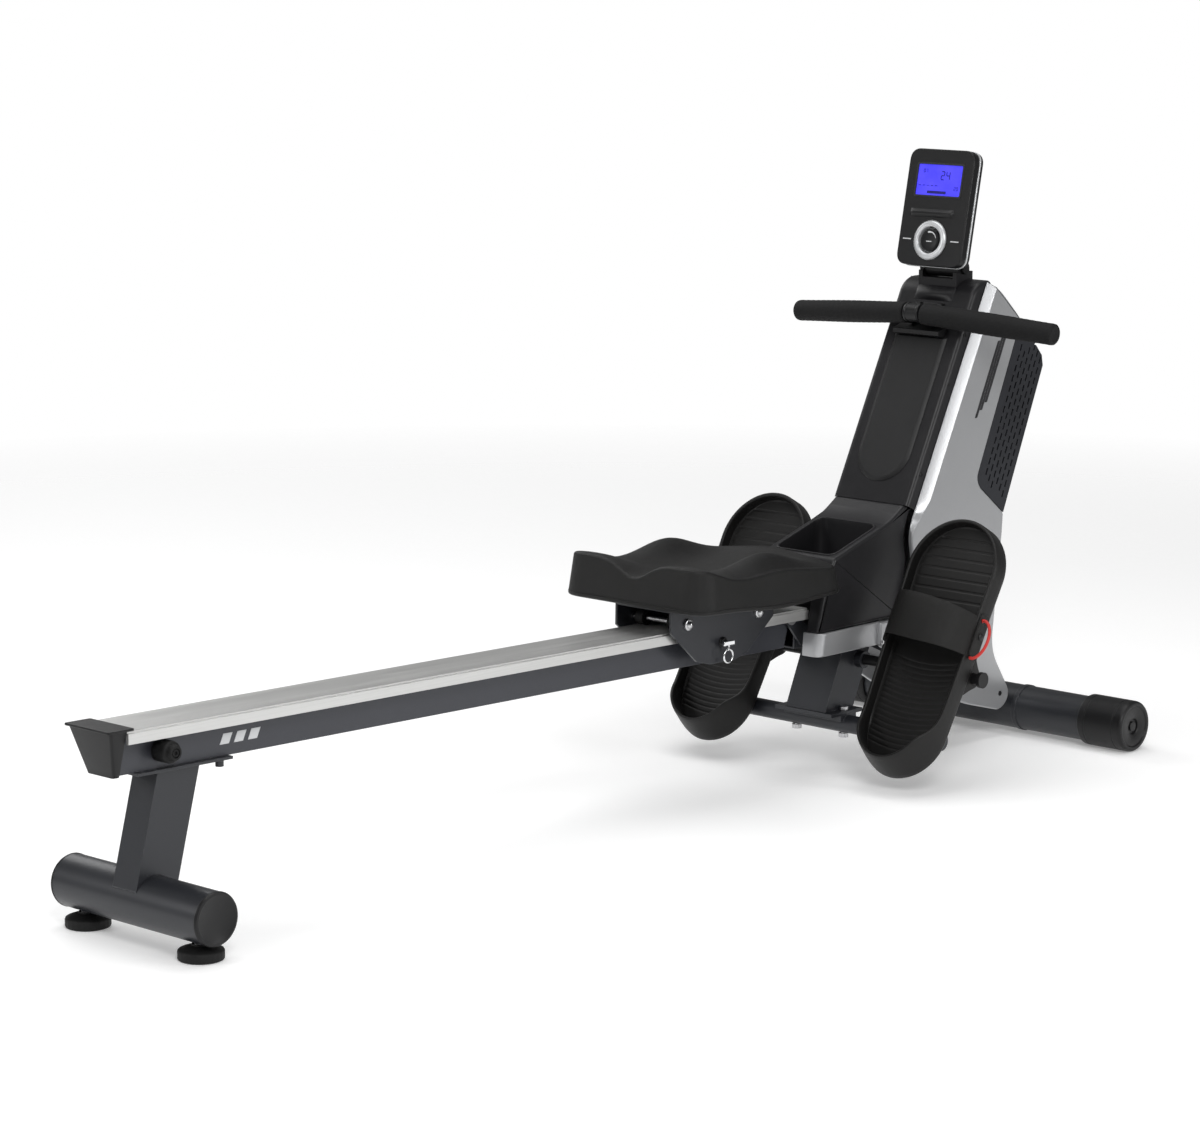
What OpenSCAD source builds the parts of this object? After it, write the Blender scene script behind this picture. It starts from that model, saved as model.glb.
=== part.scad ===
// Magnetic rowing machine: aluminium slide rail, rolling seat, leaning drive tower, pivoting foot plates.
// X runs from the rear foot to the drive tower, Z is up, and the origin is on the floor under the middle.

/* [Overall] */
// Distance between the rear and front foot tubes
foot_span = 1893; // [1840:1:1920]
// Reach of the rail end cap behind the rear foot tube
rail_tail = 92; // [80:1:100]
// Angle by which the rail drops towards the tower
rail_drop = 1.15; // [0.9:0.05:1.4]
// Height of the rail's running surface above the floor, over the rear foot tube
rail_height = 311.6; // [308:0.1:314]

/* [Feet] */
// Radius of both foot tubes
foot_r = 38; // [36:0.5:38]
// Half the length of the rear foot tube with its caps
rear_foot_half = 155; // [145:1:170]
// Height of the rear foot tube's axis
rear_foot_z = 61; // [60:0.5:62]
// Distance of each levelling foot from the middle
level_y = 120; // [110:1:125]
// Radius of a levelling foot
level_r = 32.5; // [28:0.5:34]
// Radius of the transport rollers, which carry the front foot tube
roller_r = 43.3; // [42:0.1:44]
// Half the width over the transport rollers
front_foot_half = 322; // [300:1:330]
// Length of one transport roller
roller_len = 90; // [70:1:100]

/* [Rail] */
// Width of the aluminium running plate
plate_w = 95; // [92:1:97]
// Height of the running plate's side lips
plate_lip = 18; // [14:1:20]
// Width of the steel tube under the plate
rail_tube_w = 50; // [46:1:50]
// Depth of plate and tube together
rail_depth = 64; // [60:1:66]

/* [Seat] */
// Length of the seat pad along the rail
pad_len = 354; // [340:1:356]
// Width of the seat pad
pad_w = 298; // [280:1:310]
// Radius of a seat roller
wheel_r = 12; // [11:0.5:13]

/* [Tower] */
// Angle of the tower's face from the vertical
tower_lean = 26.75; // [26:0.25:27.5]
// Half the width over the silver side shells
shell_y = 88; // [86:1:90]
// Half the width of the black face cover
cover_y = 79; // [77:1:80]
// Radius of the flywheel
fly_r = 94; // [85:1:96]

/* [Foot plates] */
// Lean of the foot plates from the vertical
pedal_lean = 28.8; // [27:0.1:30]
// Distance of each foot plate from the middle
pedal_y = 202; // [198:1:206]
// Radius of the toe end
toe_r = 88; // [84:1:90]
// Radius of the heel end
heel_r = 80; // [74:1:84]
// Length of a foot plate
pedal_len = 440; // [420:1:446]

/* [Handlebar] */
// Half the width of the handlebar
bar_half = 275; // [240:1:290]
// Radius of the foam grips
grip_r = 18; // [16:0.5:19]

/* [Console] */
// Width of the console
console_w = 136; // [128:1:144]
// Height of the console's face
console_h = 196; // [190:1:200]
// Thickness of the console's casing
console_t = 28; // [24:1:30]
// Angle of the console's face from the vertical
console_lean = 11.8; // [10:0.1:14]

/* [Hidden] */
$fn = 64;
fit = 0.05;                 // radial clearance of a running fit
gap = 0.3;                  // clearance between neighbouring bodies
steel = 2;                  // wall of the steel tubes
shell = 3;                  // wall of the plastic covers
overall = rail_tail + foot_span + roller_r;
rear_x = rail_tail - overall / 2;
front_x = rear_x + foot_span;
pin_drop = -17;             // fold pin below the running surface
hinge_r = 6;
seat_x = 1140;              // middle of the carriage, seen from the rear foot tube
rail_front = 1338;          // rail length from the rear foot tube to the fold pivot
deck = 5;                   // thickness of the running plate
// fold pivot, seen from the front foot tube on the floor
hinge_x = rail_front * cos(rail_drop) + pin_drop * sin(rail_drop) - foot_span;
hinge_z = rail_height - rail_front * sin(rail_drop) + pin_drop * cos(rail_drop);
wheel_gap = 84;             // roller axles in front of and behind the middle of the carriage
wheel_z = wheel_r + gap;    // roller axles above the running surface
carriage_y = 55;            // inner face of the carriage's side plates
carriage_t = 4;
pad_floor = 43;             // underside of the pad above the running surface
fly_u = -118;               // flywheel axis, seen from the front foot tube
fly_z = 585;
spool_u = -188;             // strap spool axis
spool_z = 465;
pulley_r = 66;
pinion_r = 16;
belt_y = 60;
belt_w = 8;
spool_r = 28;
shaft_r = 8;
pedal_u = -510;             // heel end of the foot plates
pedal_z = 27;
pivot_u = -393;             // foot plate shaft
pivot_z = 180;
pivot_r = 9;
pivot_v = 190.4;            // the same shaft in the foot plate's own frame
pivot_back = 28.8;
bar_rest_u = -440;          // bar that the foot plates lean on
bar_u = -203;               // middle of the handlebar
bar_z = 735;
bar_end_u = -180;
bar_end_z = 717;
bar_r = 12;
tilt_u = -125;              // console tilt bolt
tilt_z = 804;
bolt_r = 4;
con_u = -173;               // foot of the console's face
con_z = 811;
dial_s = 43;                // dial centre above the foot of the face

// ---- shared shapes and frames ----

// height z on the tower's sloping face, as a distance from the front foot tube
function face_u(z) = -308 + tan(tower_lean) * (z - 450);

module rod_y(r, y0, y1) { translate([0, y1, 0]) rotate([90, 0, 0]) cylinder(r = r, h = y1 - y0); }
module pipe_y(r, bore, y0, y1) { difference() { rod_y(r, y0, y1); rod_y(bore, y0 - 1, y1 + 1); } }
// a side outline in X and Z, given thickness from y0 to y1
module slab(points, y0, y1) {
    translate([0, y1, 0]) rotate([90, 0, 0]) linear_extrude(y1 - y0) polygon(points);
}
module block(x0, x1, y0, y1, z0, z1) { translate([x0, y0, z0]) cube([x1 - x0, y1 - y0, z1 - z0]); }
module on_front() { translate([front_x, 0, 0]) children(); }
module on_rear() { translate([rear_x, 0, 0]) children(); }
module on_rail() { translate([rear_x, 0, rail_height]) rotate([0, rail_drop, 0]) children(); }
module on_seat() { on_rail() translate([seat_x, 0, 0]) children(); }
// origin at the heel, Z up along the foot plate, X away from the foot
module on_pedal(side) {
    on_front() translate([pedal_u, side * pedal_y, pedal_z]) rotate([0, pedal_lean, 0]) children();
}
// origin at the foot of the console's face, Z up the face, X into the casing
module on_console() { on_front() translate([con_u, 0, con_z]) rotate([0, console_lean, 0]) children(); }
module both_sides() { children(); mirror([0, 1, 0]) children(); }

// ---- frame ----

module front_foot_tube() {
    color("dimgray") on_front() translate([0, 0, roller_r]) {
        pipe_y(foot_r, foot_r - steel, -front_foot_half + 12, front_foot_half - 12);
        both_sides() pipe_y(foot_r + 1.5, foot_r - 1, 92, 100);   // weld collar beside the tower
    }
}

module base_beam() {
    color("dimgray") on_front() difference() {
        union() {
            slab([[-538, 215], [-538, 260], [-385, 260], [-14, 96], [-30, 52], [-395, 215]], -25, 25);
            // hinge ears that straddle the end of the rail
            both_sides() {
                translate([hinge_x, 0, hinge_z]) rod_y(10, 27.5, 32);
                slab([[hinge_x - 6, 260], [hinge_x + 4, 277], [-505, 246], [-505, 222], [-530, 222]], 27.5, 32);
                slab([[-530, 225], [-530, 256], [-505, 246], [-505, 225]], 20, 28);
            }
        }
        slab([[-539, 218], [-539, 257], [-386, 257], [-60, 112], [-60, 70], [-394, 218]], -22, 22);
        translate([0, 0, roller_r]) rod_y(foot_r + 0.02, -30, 30);
        translate([hinge_x, 0, hinge_z]) rod_y(hinge_r + fit, -40, 40);
    }
}

module upright_mast() {
    color("dimgray") on_front() difference() {
        union() {
            block(-138, -98, -20, 20, 138, 772);
            // cheeks that carry the strap spool's shaft
            both_sides() slab([[-104, 430], [-104, 500], [-188, 482], [-204, 465], [-188, 448]], 20, 24);
            // stud for the brake arm
            block(-99, fly_u + 50, 16, 20, fly_z + 90, fly_z + 102);
            translate([fly_u + 44, 0, fly_z + 96]) rod_y(3, 18, 56);
        }
        block(-136, -100, -18, 18, 120, 768);
        translate([spool_u, 0, spool_z]) rod_y(shaft_r + fit, -30, 30);
        translate([fly_u, 0, fly_z]) rod_y(shaft_r + fit, -30, 30);
        // lower end cut to the slope of the beam
        slab([[-150, 100], [-150, 157.2], [-90, 130.3], [-90, 100]], -30, 30);
    }
}

// leaning leg that hangs from the nose and carries the foot plate shaft
module leg_tube() {
    lean = tan(23.5);
    top = 225;
    color("dimgray") on_front() difference() {
        union() {
            difference() {
                slab([[-478, 102], [-406, 102], [-406 + (top - 102) * lean, top],
                    [-478 + (top - 102) * lean, top]], -42, 42);
                slab([[-475.5, 101], [-408.5, 101], [-408.5 + 125 * lean, 226],
                    [-475.5 + 125 * lean, 226]], -39.5, 39.5);
            }
            block(-484, -404, -60, 60, 96, 102);
            // bushes that hold the shaft
            both_sides() translate([pivot_u, 0, pivot_z]) rod_y(pivot_r + 5, 41, 56);
        }
        translate([pivot_u, 0, pivot_z]) rod_y(pivot_r + fit, -60, 60);
        for (side = [-1, 1]) translate([bar_rest_u, side * 50, 90]) cylinder(r = bolt_r + 0.5, h = 20);
        // upper end cut to the underside of the beam
        slab([[-545, 214.9], [-395, 214.9], [-350, 194.8], [-350, 300], [-545, 300]], -60, 60);
    }
}

module rest_bar() {
    color("dimgray") on_front() translate([bar_rest_u, 0, 80]) difference() {
        union() { rod_y(15, -255, 255); block(-20, 20, -60, 60, 6, 15.9); }
        rod_y(13, -253, 253);
        for (side = [-1, 1]) translate([0, side * 50, -20]) cylinder(r = bolt_r + 0.5, h = 50);
    }
}

module rest_bar_bolts() {
    color("gray") on_front() for (side = [-1, 1]) translate([bar_rest_u, side * 50, 58]) {
        cylinder(r = bolt_r, h = 48);
        translate([0, 0, -1]) cylinder(r = 8, h = 7);
        translate([0, 0, 44.2]) cylinder(r = 7, h = 6, $fn = 6);
    }
}

module pedal_shaft() {
    color("gray") on_front() translate([pivot_u, 0, pivot_z]) {
        rod_y(pivot_r, -296, 296);
        both_sides() rod_y(pivot_r + 4, 293, 300);
    }
}

// ---- tower covers ----

// side outline of the silver shell down to its foot skirt
shell_points = [
    [face_u(782) + 27, 783], [-113, 785], [-82, 768], [-33, 724], [22, 666], [37, 650], [40, 632],
    [-64, 391], [-68, 354], [-92, 158], [-41, 82], [-42, 66], [-52, 54], [-68, 48], [-172, 76],
    [-393, 208], [-393, 246], [-330, 246], [-307, 338], [-315, 375], [-308, 402],
    [face_u(430) + 25, 430]];

module side_shell() {
    difference() {
        slab(shell_points, cover_y + 0.6, shell_y);
        // hollow behind the outer skin
        slab([[face_u(765) + 34, 768], [-96, 768], [-30, 706], [26, 640], [-76, 391], [-80, 350],
            [-103, 160], [-160, 88], [-385, 216], [-385, 238], [-322, 238], [-296, 338], [-304, 372],
            [face_u(430) + 34, 430]], cover_y - 1, shell_y - shell);
        slab(grille_points(0.4, 8), cover_y - 1, shell_y + 1);
        translate([0, 0, roller_r]) rod_y(foot_r + 2, 0, 120);
    }
    // band that runs back along the nose and round its rear corner
    slab([[-543, 208], [-539, 246], [-380, 246], [-380, 208]], 72, cover_y + 1);
    slab([[-543, 208], [-539, 246], [-534, 246], [-538, 208]], 51, 72.5);
}
module side_shell_left() { color("silver") on_front() side_shell(); }
module side_shell_right() { color("silver") on_front() mirror([0, 1, 0]) side_shell(); }

// outline of the grille, grown at the front by grow and past the tower's back edge by back
function grille_points(grow, back) = [[-29 - grow, 706 + grow], [-17, 706 + grow], [20, 666.5] + back * [1, 1],
    [35 + back, 650 + back], [38.5 + back, 632], [-65.5 + back, 391 - grow], [-65.5, 391 - grow],
    [-133 - grow, 443], [-139 - grow, 459]];

module grille() {
    rows = 30;
    pitch = 9.2;
    lean = 24;
    difference() {
        slab(grille_points(0, 0), shell_y - 5, shell_y - 0.6);
        // staggered slots that follow the lean of the tower
        for (col = [-3:1:5], row = [0:1:rows / 2])
            translate([-50 + col * 13, 0, 550]) rotate([0, lean, 0])
                translate([0, 0, -155 + row * 2 * pitch + (col % 2) * pitch - col * 4])
                    if (slot_inside(col, -155 + row * 2 * pitch + (col % 2) * pitch - col * 4))
                        block(-2, 2, shell_y - 8, shell_y + 1, -6, 6);
    }
}
// whether a slot stays clear of the grille's rim
function slot_inside(col, s) =
    let (x = -50 + col * 13 + s * sin(24), z = 550 + s * cos(24))
    z > 412 - (x + 64) * 0.75 && z < 694 - max(0, x + 10) * 1.1
    && x > -126 + (z - 459) * 0.447 && x < -64 + (z - 391) * 0.428 - 9;

module grille_left() { color("black") on_front() grille(); }
module grille_right() { color("black") on_front() mirror([0, 1, 0]) grille(); }

// black cover over the rower's side and top of the tower
module face_cover() {
    outer = [[face_u(431), 431], [face_u(770), 770], [face_u(770) + 16, 786], [-104, 786], [-86, 768],
        [face_u(768) + 30, 768], [face_u(431) + 24, 431]];
    color("dimgray") on_front() difference() {
        slab(outer, -cover_y, cover_y);
        slab([[face_u(425) + shell, 425], [face_u(765) + shell, 765], [face_u(765) + 17, 782],
            [-107, 782], [-80, 750], [face_u(425) + 40, 425]], -cover_y + shell, cover_y - shell);
        // mouth for the strap
        block(-230, -150, -17, 17, 716, 746);
        // seat of the console neck
        block(-146, -98, -41, 41, 770, 790);
    }
}

// raised panel with a round lower end on the face cover
module face_panel() {
    half = 54;
    top = 690;
    low = 512;
    rise = (top - low) / cos(tower_lean);
    color("dimgray") on_front() translate([face_u(low) - 0.1, 0, low]) rotate([0, tower_lean, 0])
        rotate([0, -90, 0]) linear_extrude(3) union() {
            circle(r = half);
            translate([0, -half]) square([rise, 2 * half]);
        }
}

// nose with its open tray
module nose_cover() {
    color("dimgray") on_front() difference() {
        union() {
            slab([[-537.5, 246.5], [-528, 293], [-499, 360], [-497, 364], [-353, 408], [face_u(430), 430.5],
                [face_u(430) + 23, 430.5], [-309, 402], [-316, 375], [-308, 338], [-331, 246.5]], -74, 74);
        }
        slab([[-540, 240], [-524.5, 293], [-495.5, 359], [-356, 404], [face_u(430) + 2, 428],
            [face_u(430) + 30, 440], [-300, 375], [-328, 240]], -71, 71);
        block(-486, -372, -60, 60, 355, 440);
        // doorway for the rail and its hinge
        block(-545, -498, -50.5, 50.5, 240, 306);
    }
    // tray let into the top
    color("dimgray") on_front() difference() {
        slab([[-489, 318], [-489, 364.5], [-369, 400.5], [-369, 318]], -63, 63);
        block(-486, -372, -60, 60, 321, 440);
    }
}

// closes the gap between the side shells at the back
module back_cover() {
    color("dimgray") on_front()
        slab([[-84, 768.5], [-34, 723], [21, 665], [35, 646], [37, 632], [-66, 391], [-70, 354], [-94, 158],
            [-97, 158], [-73, 356], [-69, 392], [33, 632], [31, 644], [18, 662], [-36, 720], [-87, 766]],
            -cover_y, cover_y);
}

// ledge under the handlebar with the strap's mouth
module strap_guide() {
    color("black") on_front()
        slab([[face_u(706) - 22, 706], [face_u(704) - 22, 699], [face_u(695) - 0.2, 695],
            [face_u(714) - 0.2, 714]], -48, 48);
    color("black") on_front() both_sides()
        slab([[face_u(714) - 12, 714], [face_u(714) - 0.2, 714], [face_u(748) - 0.2, 748],
            [face_u(748) - 8, 748]], 19, 27);
}

module cover_screws() {
    color("gray") on_front() both_sides()
        for (at = [[face_u(478) + 12, 478], [face_u(620) + 12, 620], [-96, 762]])
            translate([at[0], 0, at[1]]) rod_y(3.5, cover_y, cover_y + 0.5);
}

module console_neck() {
    color("black") on_front() difference() {
        union() {
            block(-144, -100, -40, 40, 772.1, 789);
            both_sides() {
                block(-144, -100, 32, 40, 789, 800);
                translate([tilt_u, 0, tilt_z]) rod_y(16, 32, 40);
            }
        }
        translate([tilt_u, 0, tilt_z]) rod_y(bolt_r + fit, -50, 50);
    }
}

module fold_pin() {
    color("silver") on_front() translate([hinge_x, 0, hinge_z]) {
        rod_y(6, -36, 36);
        both_sides() rod_y(9, 32.2, 36);
    }
}

// ---- drive ----

module flywheel_axle() {
    color("silver") on_front() translate([fly_u, 0, fly_z]) {
        rod_y(shaft_r, -26, 72);
        rod_y(13, -26.2, -22);
    }
}

module flywheel() {
    color("gray") on_front() translate([fly_u, 0, fly_z]) difference() {
        union() {
            pipe_y(fly_r, fly_r - 26, 29, 53);
            rod_y(fly_r - 25, 37, 45);
            rod_y(20, 29, 56);
            rod_y(pinion_r, 56, 65);
        }
        rod_y(shaft_r + fit, 20, 80);
        for (turn = [0:60:300]) rotate([0, turn, 0]) translate([46, 0, 0]) rod_y(13, 30, 60);
    }
}

// arm with the brake magnets, hinged beside the flywheel's rim
module brake_arm() {
    color("silver") on_front() {
        difference() {
            translate([fly_u, 0, fly_z]) intersection() {
                pipe_y(fly_r + 9, fly_r + 2, 30, 52);
                slab([[0, 0], [70, 140], [-30, 140]], 20, 60);
            }
            translate([fly_u + 40, 0, fly_z + 99]) rod_y(9, 20, 60);
        }
        translate([fly_u + 44, 0, fly_z + 96]) pipe_y(7, 3 + fit, 30, 52);
    }
}

module spool_shaft() {
    color("silver") on_front() translate([spool_u, 0, spool_z]) rod_y(shaft_r, -60, 70);
}

module strap_spool() {
    color("black") on_front() translate([spool_u, 0, spool_z]) difference() {
        union() { rod_y(spool_r - 8, -17, 17); both_sides() rod_y(spool_r + 5, 15, 18); }
        rod_y(shaft_r + fit, -20, 20);
    }
}

module return_spring_case() {
    color("black") on_front() translate([spool_u, 0, spool_z]) difference() {
        rod_y(42, -56, -28);
        rod_y(39, -54, -30);
        rod_y(shaft_r + fit, -60, 0);
    }
}

module drive_pulley() {
    color("black") on_front() translate([spool_u, 0, spool_z]) difference() {
        union() { pipe_y(pulley_r, pulley_r - 8, belt_y - 4, belt_y + 4); rod_y(pulley_r - 7, 58, 62); rod_y(16, 50, 66); }
        rod_y(shaft_r + fit, 40, 80);
        for (turn = [0:72:288]) rotate([0, turn, 0]) translate([38, 0, 0]) rod_y(11, 50, 70);
    }
}

module drive_belt() {
    color("black") on_front() translate([spool_u, belt_y + belt_w / 2 - 0.2, spool_z]) rotate([90, 0, 0])
        linear_extrude(belt_w - 0.4) difference() {
            hull() { circle(r = pulley_r + 3); translate([fly_u - spool_u, fly_z - spool_z]) circle(r = pinion_r + 3); }
            hull() { circle(r = pulley_r + 0.6); translate([fly_u - spool_u, fly_z - spool_z]) circle(r = pinion_r + 0.6); }
        }
}

// webbing from the spool, over the mouth's lip and out to the handlebar
module pull_strap() {
    color("black") on_front() slab([[spool_u + 21, spool_z], [-149, 725], [bar_u + 15, 733],
        [bar_u + 15, 735], [-146, 727], [spool_u + 23, spool_z]], -12.5, 12.5);
}

// ---- handlebar ----

// one arm of the slightly swept bar, from the middle outwards along Y
module bar_arm(side) {
    run = bar_half - 6;
    on_front() translate([bar_u, 0, bar_z])
        rotate([atan2(bar_z - bar_end_z, run) * -side, 0, -side * atan2(bar_end_u - bar_u, run)])
            rotate([-side * 90, 0, 0]) children();
}

module handle_bar() {
    color("dimgray") for (side = [-1, 1]) bar_arm(side) difference() {
        cylinder(r = bar_r, h = bar_half - 8);
        translate([0, 0, 16]) cylinder(r = bar_r - steel, h = bar_half - 20);
    }
}

module handle_grips() {
    color("black") for (side = [-1, 1]) bar_arm(side) {
        difference() {
            translate([0, 0, 17]) cylinder(r = grip_r, h = bar_half - 21);
            translate([0, 0, 16]) cylinder(r = bar_r + 0.02, h = bar_half - 24);
        }
    }
}

module handle_collar() {
    color("black") on_front() translate([bar_u, 0, bar_z]) difference() {
        union() { rod_y(16.5, -15.5, 15.5); block(8, 20, -13.5, 13.5, -6, 6); }
        for (side = [-1, 1])
            rotate([atan2(bar_z - bar_end_z, bar_half - 6) * -side, 0, -side * atan2(bar_end_u - bar_u, bar_half - 6)])
                rotate([-side * 90, 0, 0]) cylinder(r = bar_r + 0.02, h = 30);
        block(15, 21, -12.7, 12.7, -3.4, 0.3);
    }
}

// ---- rail ----

module rail_tube() {
    side = rail_tube_w / 2;
    end = [[-58, -deck - 0.1], [-58, -rail_depth], [rail_front - 8, -rail_depth], [rail_front + 8, -deck - 0.1]];
    color("slategray") on_rail() difference() {
        slab(end, -side, side);
        slab([[-59, -deck - 0.1 - steel], [-59, -rail_depth + steel], [rail_front + 20, -rail_depth + steel],
            [rail_front + 20, -deck - 0.1 - steel]], -side + steel, side - steel);
        translate([rail_front, 0, pin_drop]) rod_y(hinge_r + fit, -40, 40);
    }
}

module rail_plate() {
    half = plate_w / 2;
    color("lightgray") on_rail() difference() {
        block(-58, rail_front + 26, -half, half, -plate_lip, 0);
        block(-59, rail_front + 40, -half + deck, half - deck, -plate_lip - 1, -deck);
        // step along each edge
        both_sides() block(-59, rail_front + 40, half - 3, half + 1, -3, 1);
    }
}

module rail_end_cap() {
    color("black") on_rail() {
        block(-rail_tail, -50, -plate_w / 2 + 1, plate_w / 2 - 1, 0.1, 4);
        hull() {
            block(-87, -58.1, -44, 44, -1, 0.1);
            block(-68, -58.1, -27, 27, -rail_depth - 2, -rail_depth);
        }
    }
}

module rail_bumpers() {
    color("black") on_rail() both_sides() translate([15, 0, -38]) {
        rod_y(14, rail_tube_w / 2, 52);
        rod_y(11, 52, 60);
    }
}

// sleeve welded into the end of the tube, bored for the fold pin
module rail_hinge() {
    inside = rail_tube_w / 2 - steel - 0.1;
    top = -deck - steel - 0.2;
    color("slategray") on_rail() difference() {
        slab([[rail_front - 120, top], [rail_front - 120, -rail_depth + steel + 0.1],
            [rail_front - 16, -rail_depth + steel + 0.1], [rail_front + 4, top]], -inside, inside);
        slab([[rail_front - 130, top - steel], [rail_front - 130, -rail_depth + 2 * steel],
            [rail_front + 20, -rail_depth + 2 * steel], [rail_front + 20, top - steel]],
            -inside + 2 * steel, inside - 2 * steel);
        translate([rail_front, 0, pin_drop]) rod_y(hinge_r + fit, -40, 40);
    }
}

module rear_post() {
    color("dimgray") on_rear() difference() {
        union() {
            slab([[-33, 80], [42, 80], [85.5, 242], [10.5, 244]], -25, 25);
            // plate bolted under the rail
            translate([0, 0, rail_height]) rotate([0, rail_drop, 0])
                block(-30, 140, -34, 34, -rail_depth - 4.1, -rail_depth - 0.05);
        }
        slab([[-30.5, 75], [39.5, 75], [83.5, 240], [13.5, 240]], -22.5, 22.5);
        translate([0, 0, rear_foot_z]) rod_y(foot_r + 0.02, -40, 40);
    }
    color("gray") on_rear() both_sides() translate([118, 29, 233]) cylinder(r = 6, h = 8);
}

module rear_foot_tube() {
    color("dimgray") on_rear() difference() {
        translate([0, 0, rear_foot_z]) pipe_y(foot_r, foot_r - steel, -rear_foot_half + 5, rear_foot_half - 5);
        for (side = [-1, 1]) translate([0, side * level_y, 10]) cylinder(r = 5 + fit, h = 30);
    }
}

module rear_foot_caps() {
    color("black") on_rear() translate([0, 0, rear_foot_z]) both_sides() {
        rod_y(foot_r, rear_foot_half - 4.9, rear_foot_half);
        rod_y(foot_r - steel - 0.1, rear_foot_half - 16, rear_foot_half - 4.9);
    }
}

// rubber pad on a screw that turns in the rear foot tube
module levelling_foot(side) {
    color("black") on_rear() translate([0, side * level_y, 0]) {
        cylinder(r = level_r, h = 14);
        translate([0, 0, 14]) rotate_extrude() polygon([[0, 0], [level_r - 3, 0], [13, 6.5], [12, 8.4], [0, 8.4]]);
        cylinder(r = 5, h = 44);
    }
}
module levelling_foot_left() { levelling_foot(1); }
module levelling_foot_right() { levelling_foot(-1); }

// ---- seat ----

module seat_pad() {
    r = 40;
    lx = pad_len / 2 - r;
    ly = pad_w / 2 - r;
    color("black") on_seat() translate([24, 0, pad_floor]) {
        difference() {
            union() {
                block(-lx - r, lx + r, -ly, ly, 0, 56);
                block(-lx, lx, -ly - r, ly + r, 0, 56);
                for (x = [-lx, lx], y = [-ly, ly]) translate([x, y, 0]) cylinder(r = r, h = 56);
                block(-lx, lx - 60, -ly, ly, 55, 63);
            }
            // hollow under the moulded skirt
            block(-lx - r + 16, lx + r - 16, -ly - r + 16, ly + r - 16, -1, 24);
        }
    }
}

module seat_base() {
    color("dimgray") on_seat() {
        block(-122, 122, -carriage_y, carriage_y, 34, 38);
        block(-110, 150, -110, 110, pad_floor + 20.9, pad_floor + 23.9);
        both_sides() block(-100, 120, 36, 40, 37.9, pad_floor + 21);
    }
}

module carriage_plate() {
    difference() {
        slab([[-122, 38], [-122, 2], [-60, -50], [-30, -58], [30, -58], [60, -50], [122, 2], [122, 38]],
            carriage_y, carriage_y + carriage_t);
        for (x = [-wheel_gap, wheel_gap]) translate([x, 0, wheel_z]) rod_y(bolt_r + fit, 40, 70);
        translate([0, 0, -26]) rod_y(4 + fit, 40, 70);
    }
}
module carriage_plate_left() { color("dimgray") on_seat() carriage_plate(); }
module carriage_plate_right() { color("dimgray") on_seat() mirror([0, 1, 0]) carriage_plate(); }

module carriage_axles() {
    color("silver") on_seat() for (x = [-wheel_gap, wheel_gap]) translate([x, 0, wheel_z]) {
        rod_y(bolt_r, -64, 64);
        both_sides() rod_y(7, carriage_y + carriage_t + 0.1, 64);
    }
}

module seat_rollers(x) {
    color("black") on_seat() translate([x, 0, wheel_z]) both_sides()
        pipe_y(wheel_r, bolt_r + fit, 26, 42);
}
module seat_rollers_front() { seat_rollers(wheel_gap); }
module seat_rollers_rear() { seat_rollers(-wheel_gap); }

// sprung pin with a T head and pull ring that locks the seat for storage
module seat_lock_pin() {
    out = -(carriage_y + carriage_t);
    color("silver") on_seat() translate([0, 0, -26]) {
        rod_y(4, out - 10, -rail_tube_w / 2 - 1);
        translate([0, out - 10, 0]) {
            block(-13, 13, -5, 0, -4, 4);
            translate([0, -2.5, -17]) rotate([90, 0, 0]) rotate_extrude()
                translate([12, 0]) circle(r = 1.5);
        }
    }
}

// ---- transport rollers ----

module roller_cap() {
    difference() {
        rod_y(roller_r, front_foot_half - roller_len, front_foot_half);
        rod_y(foot_r + fit, front_foot_half - roller_len - 1, front_foot_half - 11.6);
    }
}
module roller_cap_left() { color("black") on_front() translate([0, 0, roller_r]) roller_cap(); }
module roller_cap_right() { color("black") on_front() translate([0, 0, roller_r]) mirror([0, 1, 0]) roller_cap(); }

// ---- foot plates ----

// outline of a foot plate in Y and Z, drawn inside its edge by inset
module sole_outline(inset) {
    top = pedal_len - toe_r;
    union() {
        translate([0, heel_r]) circle(r = heel_r - inset);
        translate([0, top]) circle(r = toe_r - inset);
        polygon([[-heel_r + inset, heel_r], [heel_r - inset, heel_r], [toe_r - inset, top], [-toe_r + inset, top]]);
    }
}
// the outline above as a solid from x0 to x1 in the foot plate's frame
module sole(inset, x0, x1) {
    translate([x0, 0, 0]) rotate([90, 0, 90]) linear_extrude(x1 - x0) sole_outline(inset);
}

module pedal(side) {
    ribs = 18;
    on_pedal(side) difference() {
        union() {
            sole(0, -2, 12);
            difference() { sole(0, -20, 0); sole(7, -21, 1); }
            intersection() {
                difference() { sole(0, -46, -19); sole(7, -47, -18); }
                slab([[-46, -5], [-46, 40], [-19, 110], [-19, -5]], -100, 100);
            }
            // pad that leans on the rest bar, and lugs for the shaft
            block(11, 20.4, -30, 30, 66, 94);
            for (y = [-70, 70]) hull() {
                block(11, 12, y - 8, y + 8, pivot_v - 34, pivot_v + 34);
                translate([pivot_back, 0, pivot_v]) rod_y(pivot_r + 7, y - 8, y + 8);
            }
        }
        translate([pivot_back, 0, pivot_v]) rod_y(pivot_r + fit, -90, 90);
        for (i = [0:ribs - 1]) block(-3, -0.5, -heel_r + 14, heel_r - 14, 62 + i * 18, 65 + i * 18);
    }
}
module pedal_left() { color("black") pedal(1); }
module pedal_right() { color("black") pedal(-1); }

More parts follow.
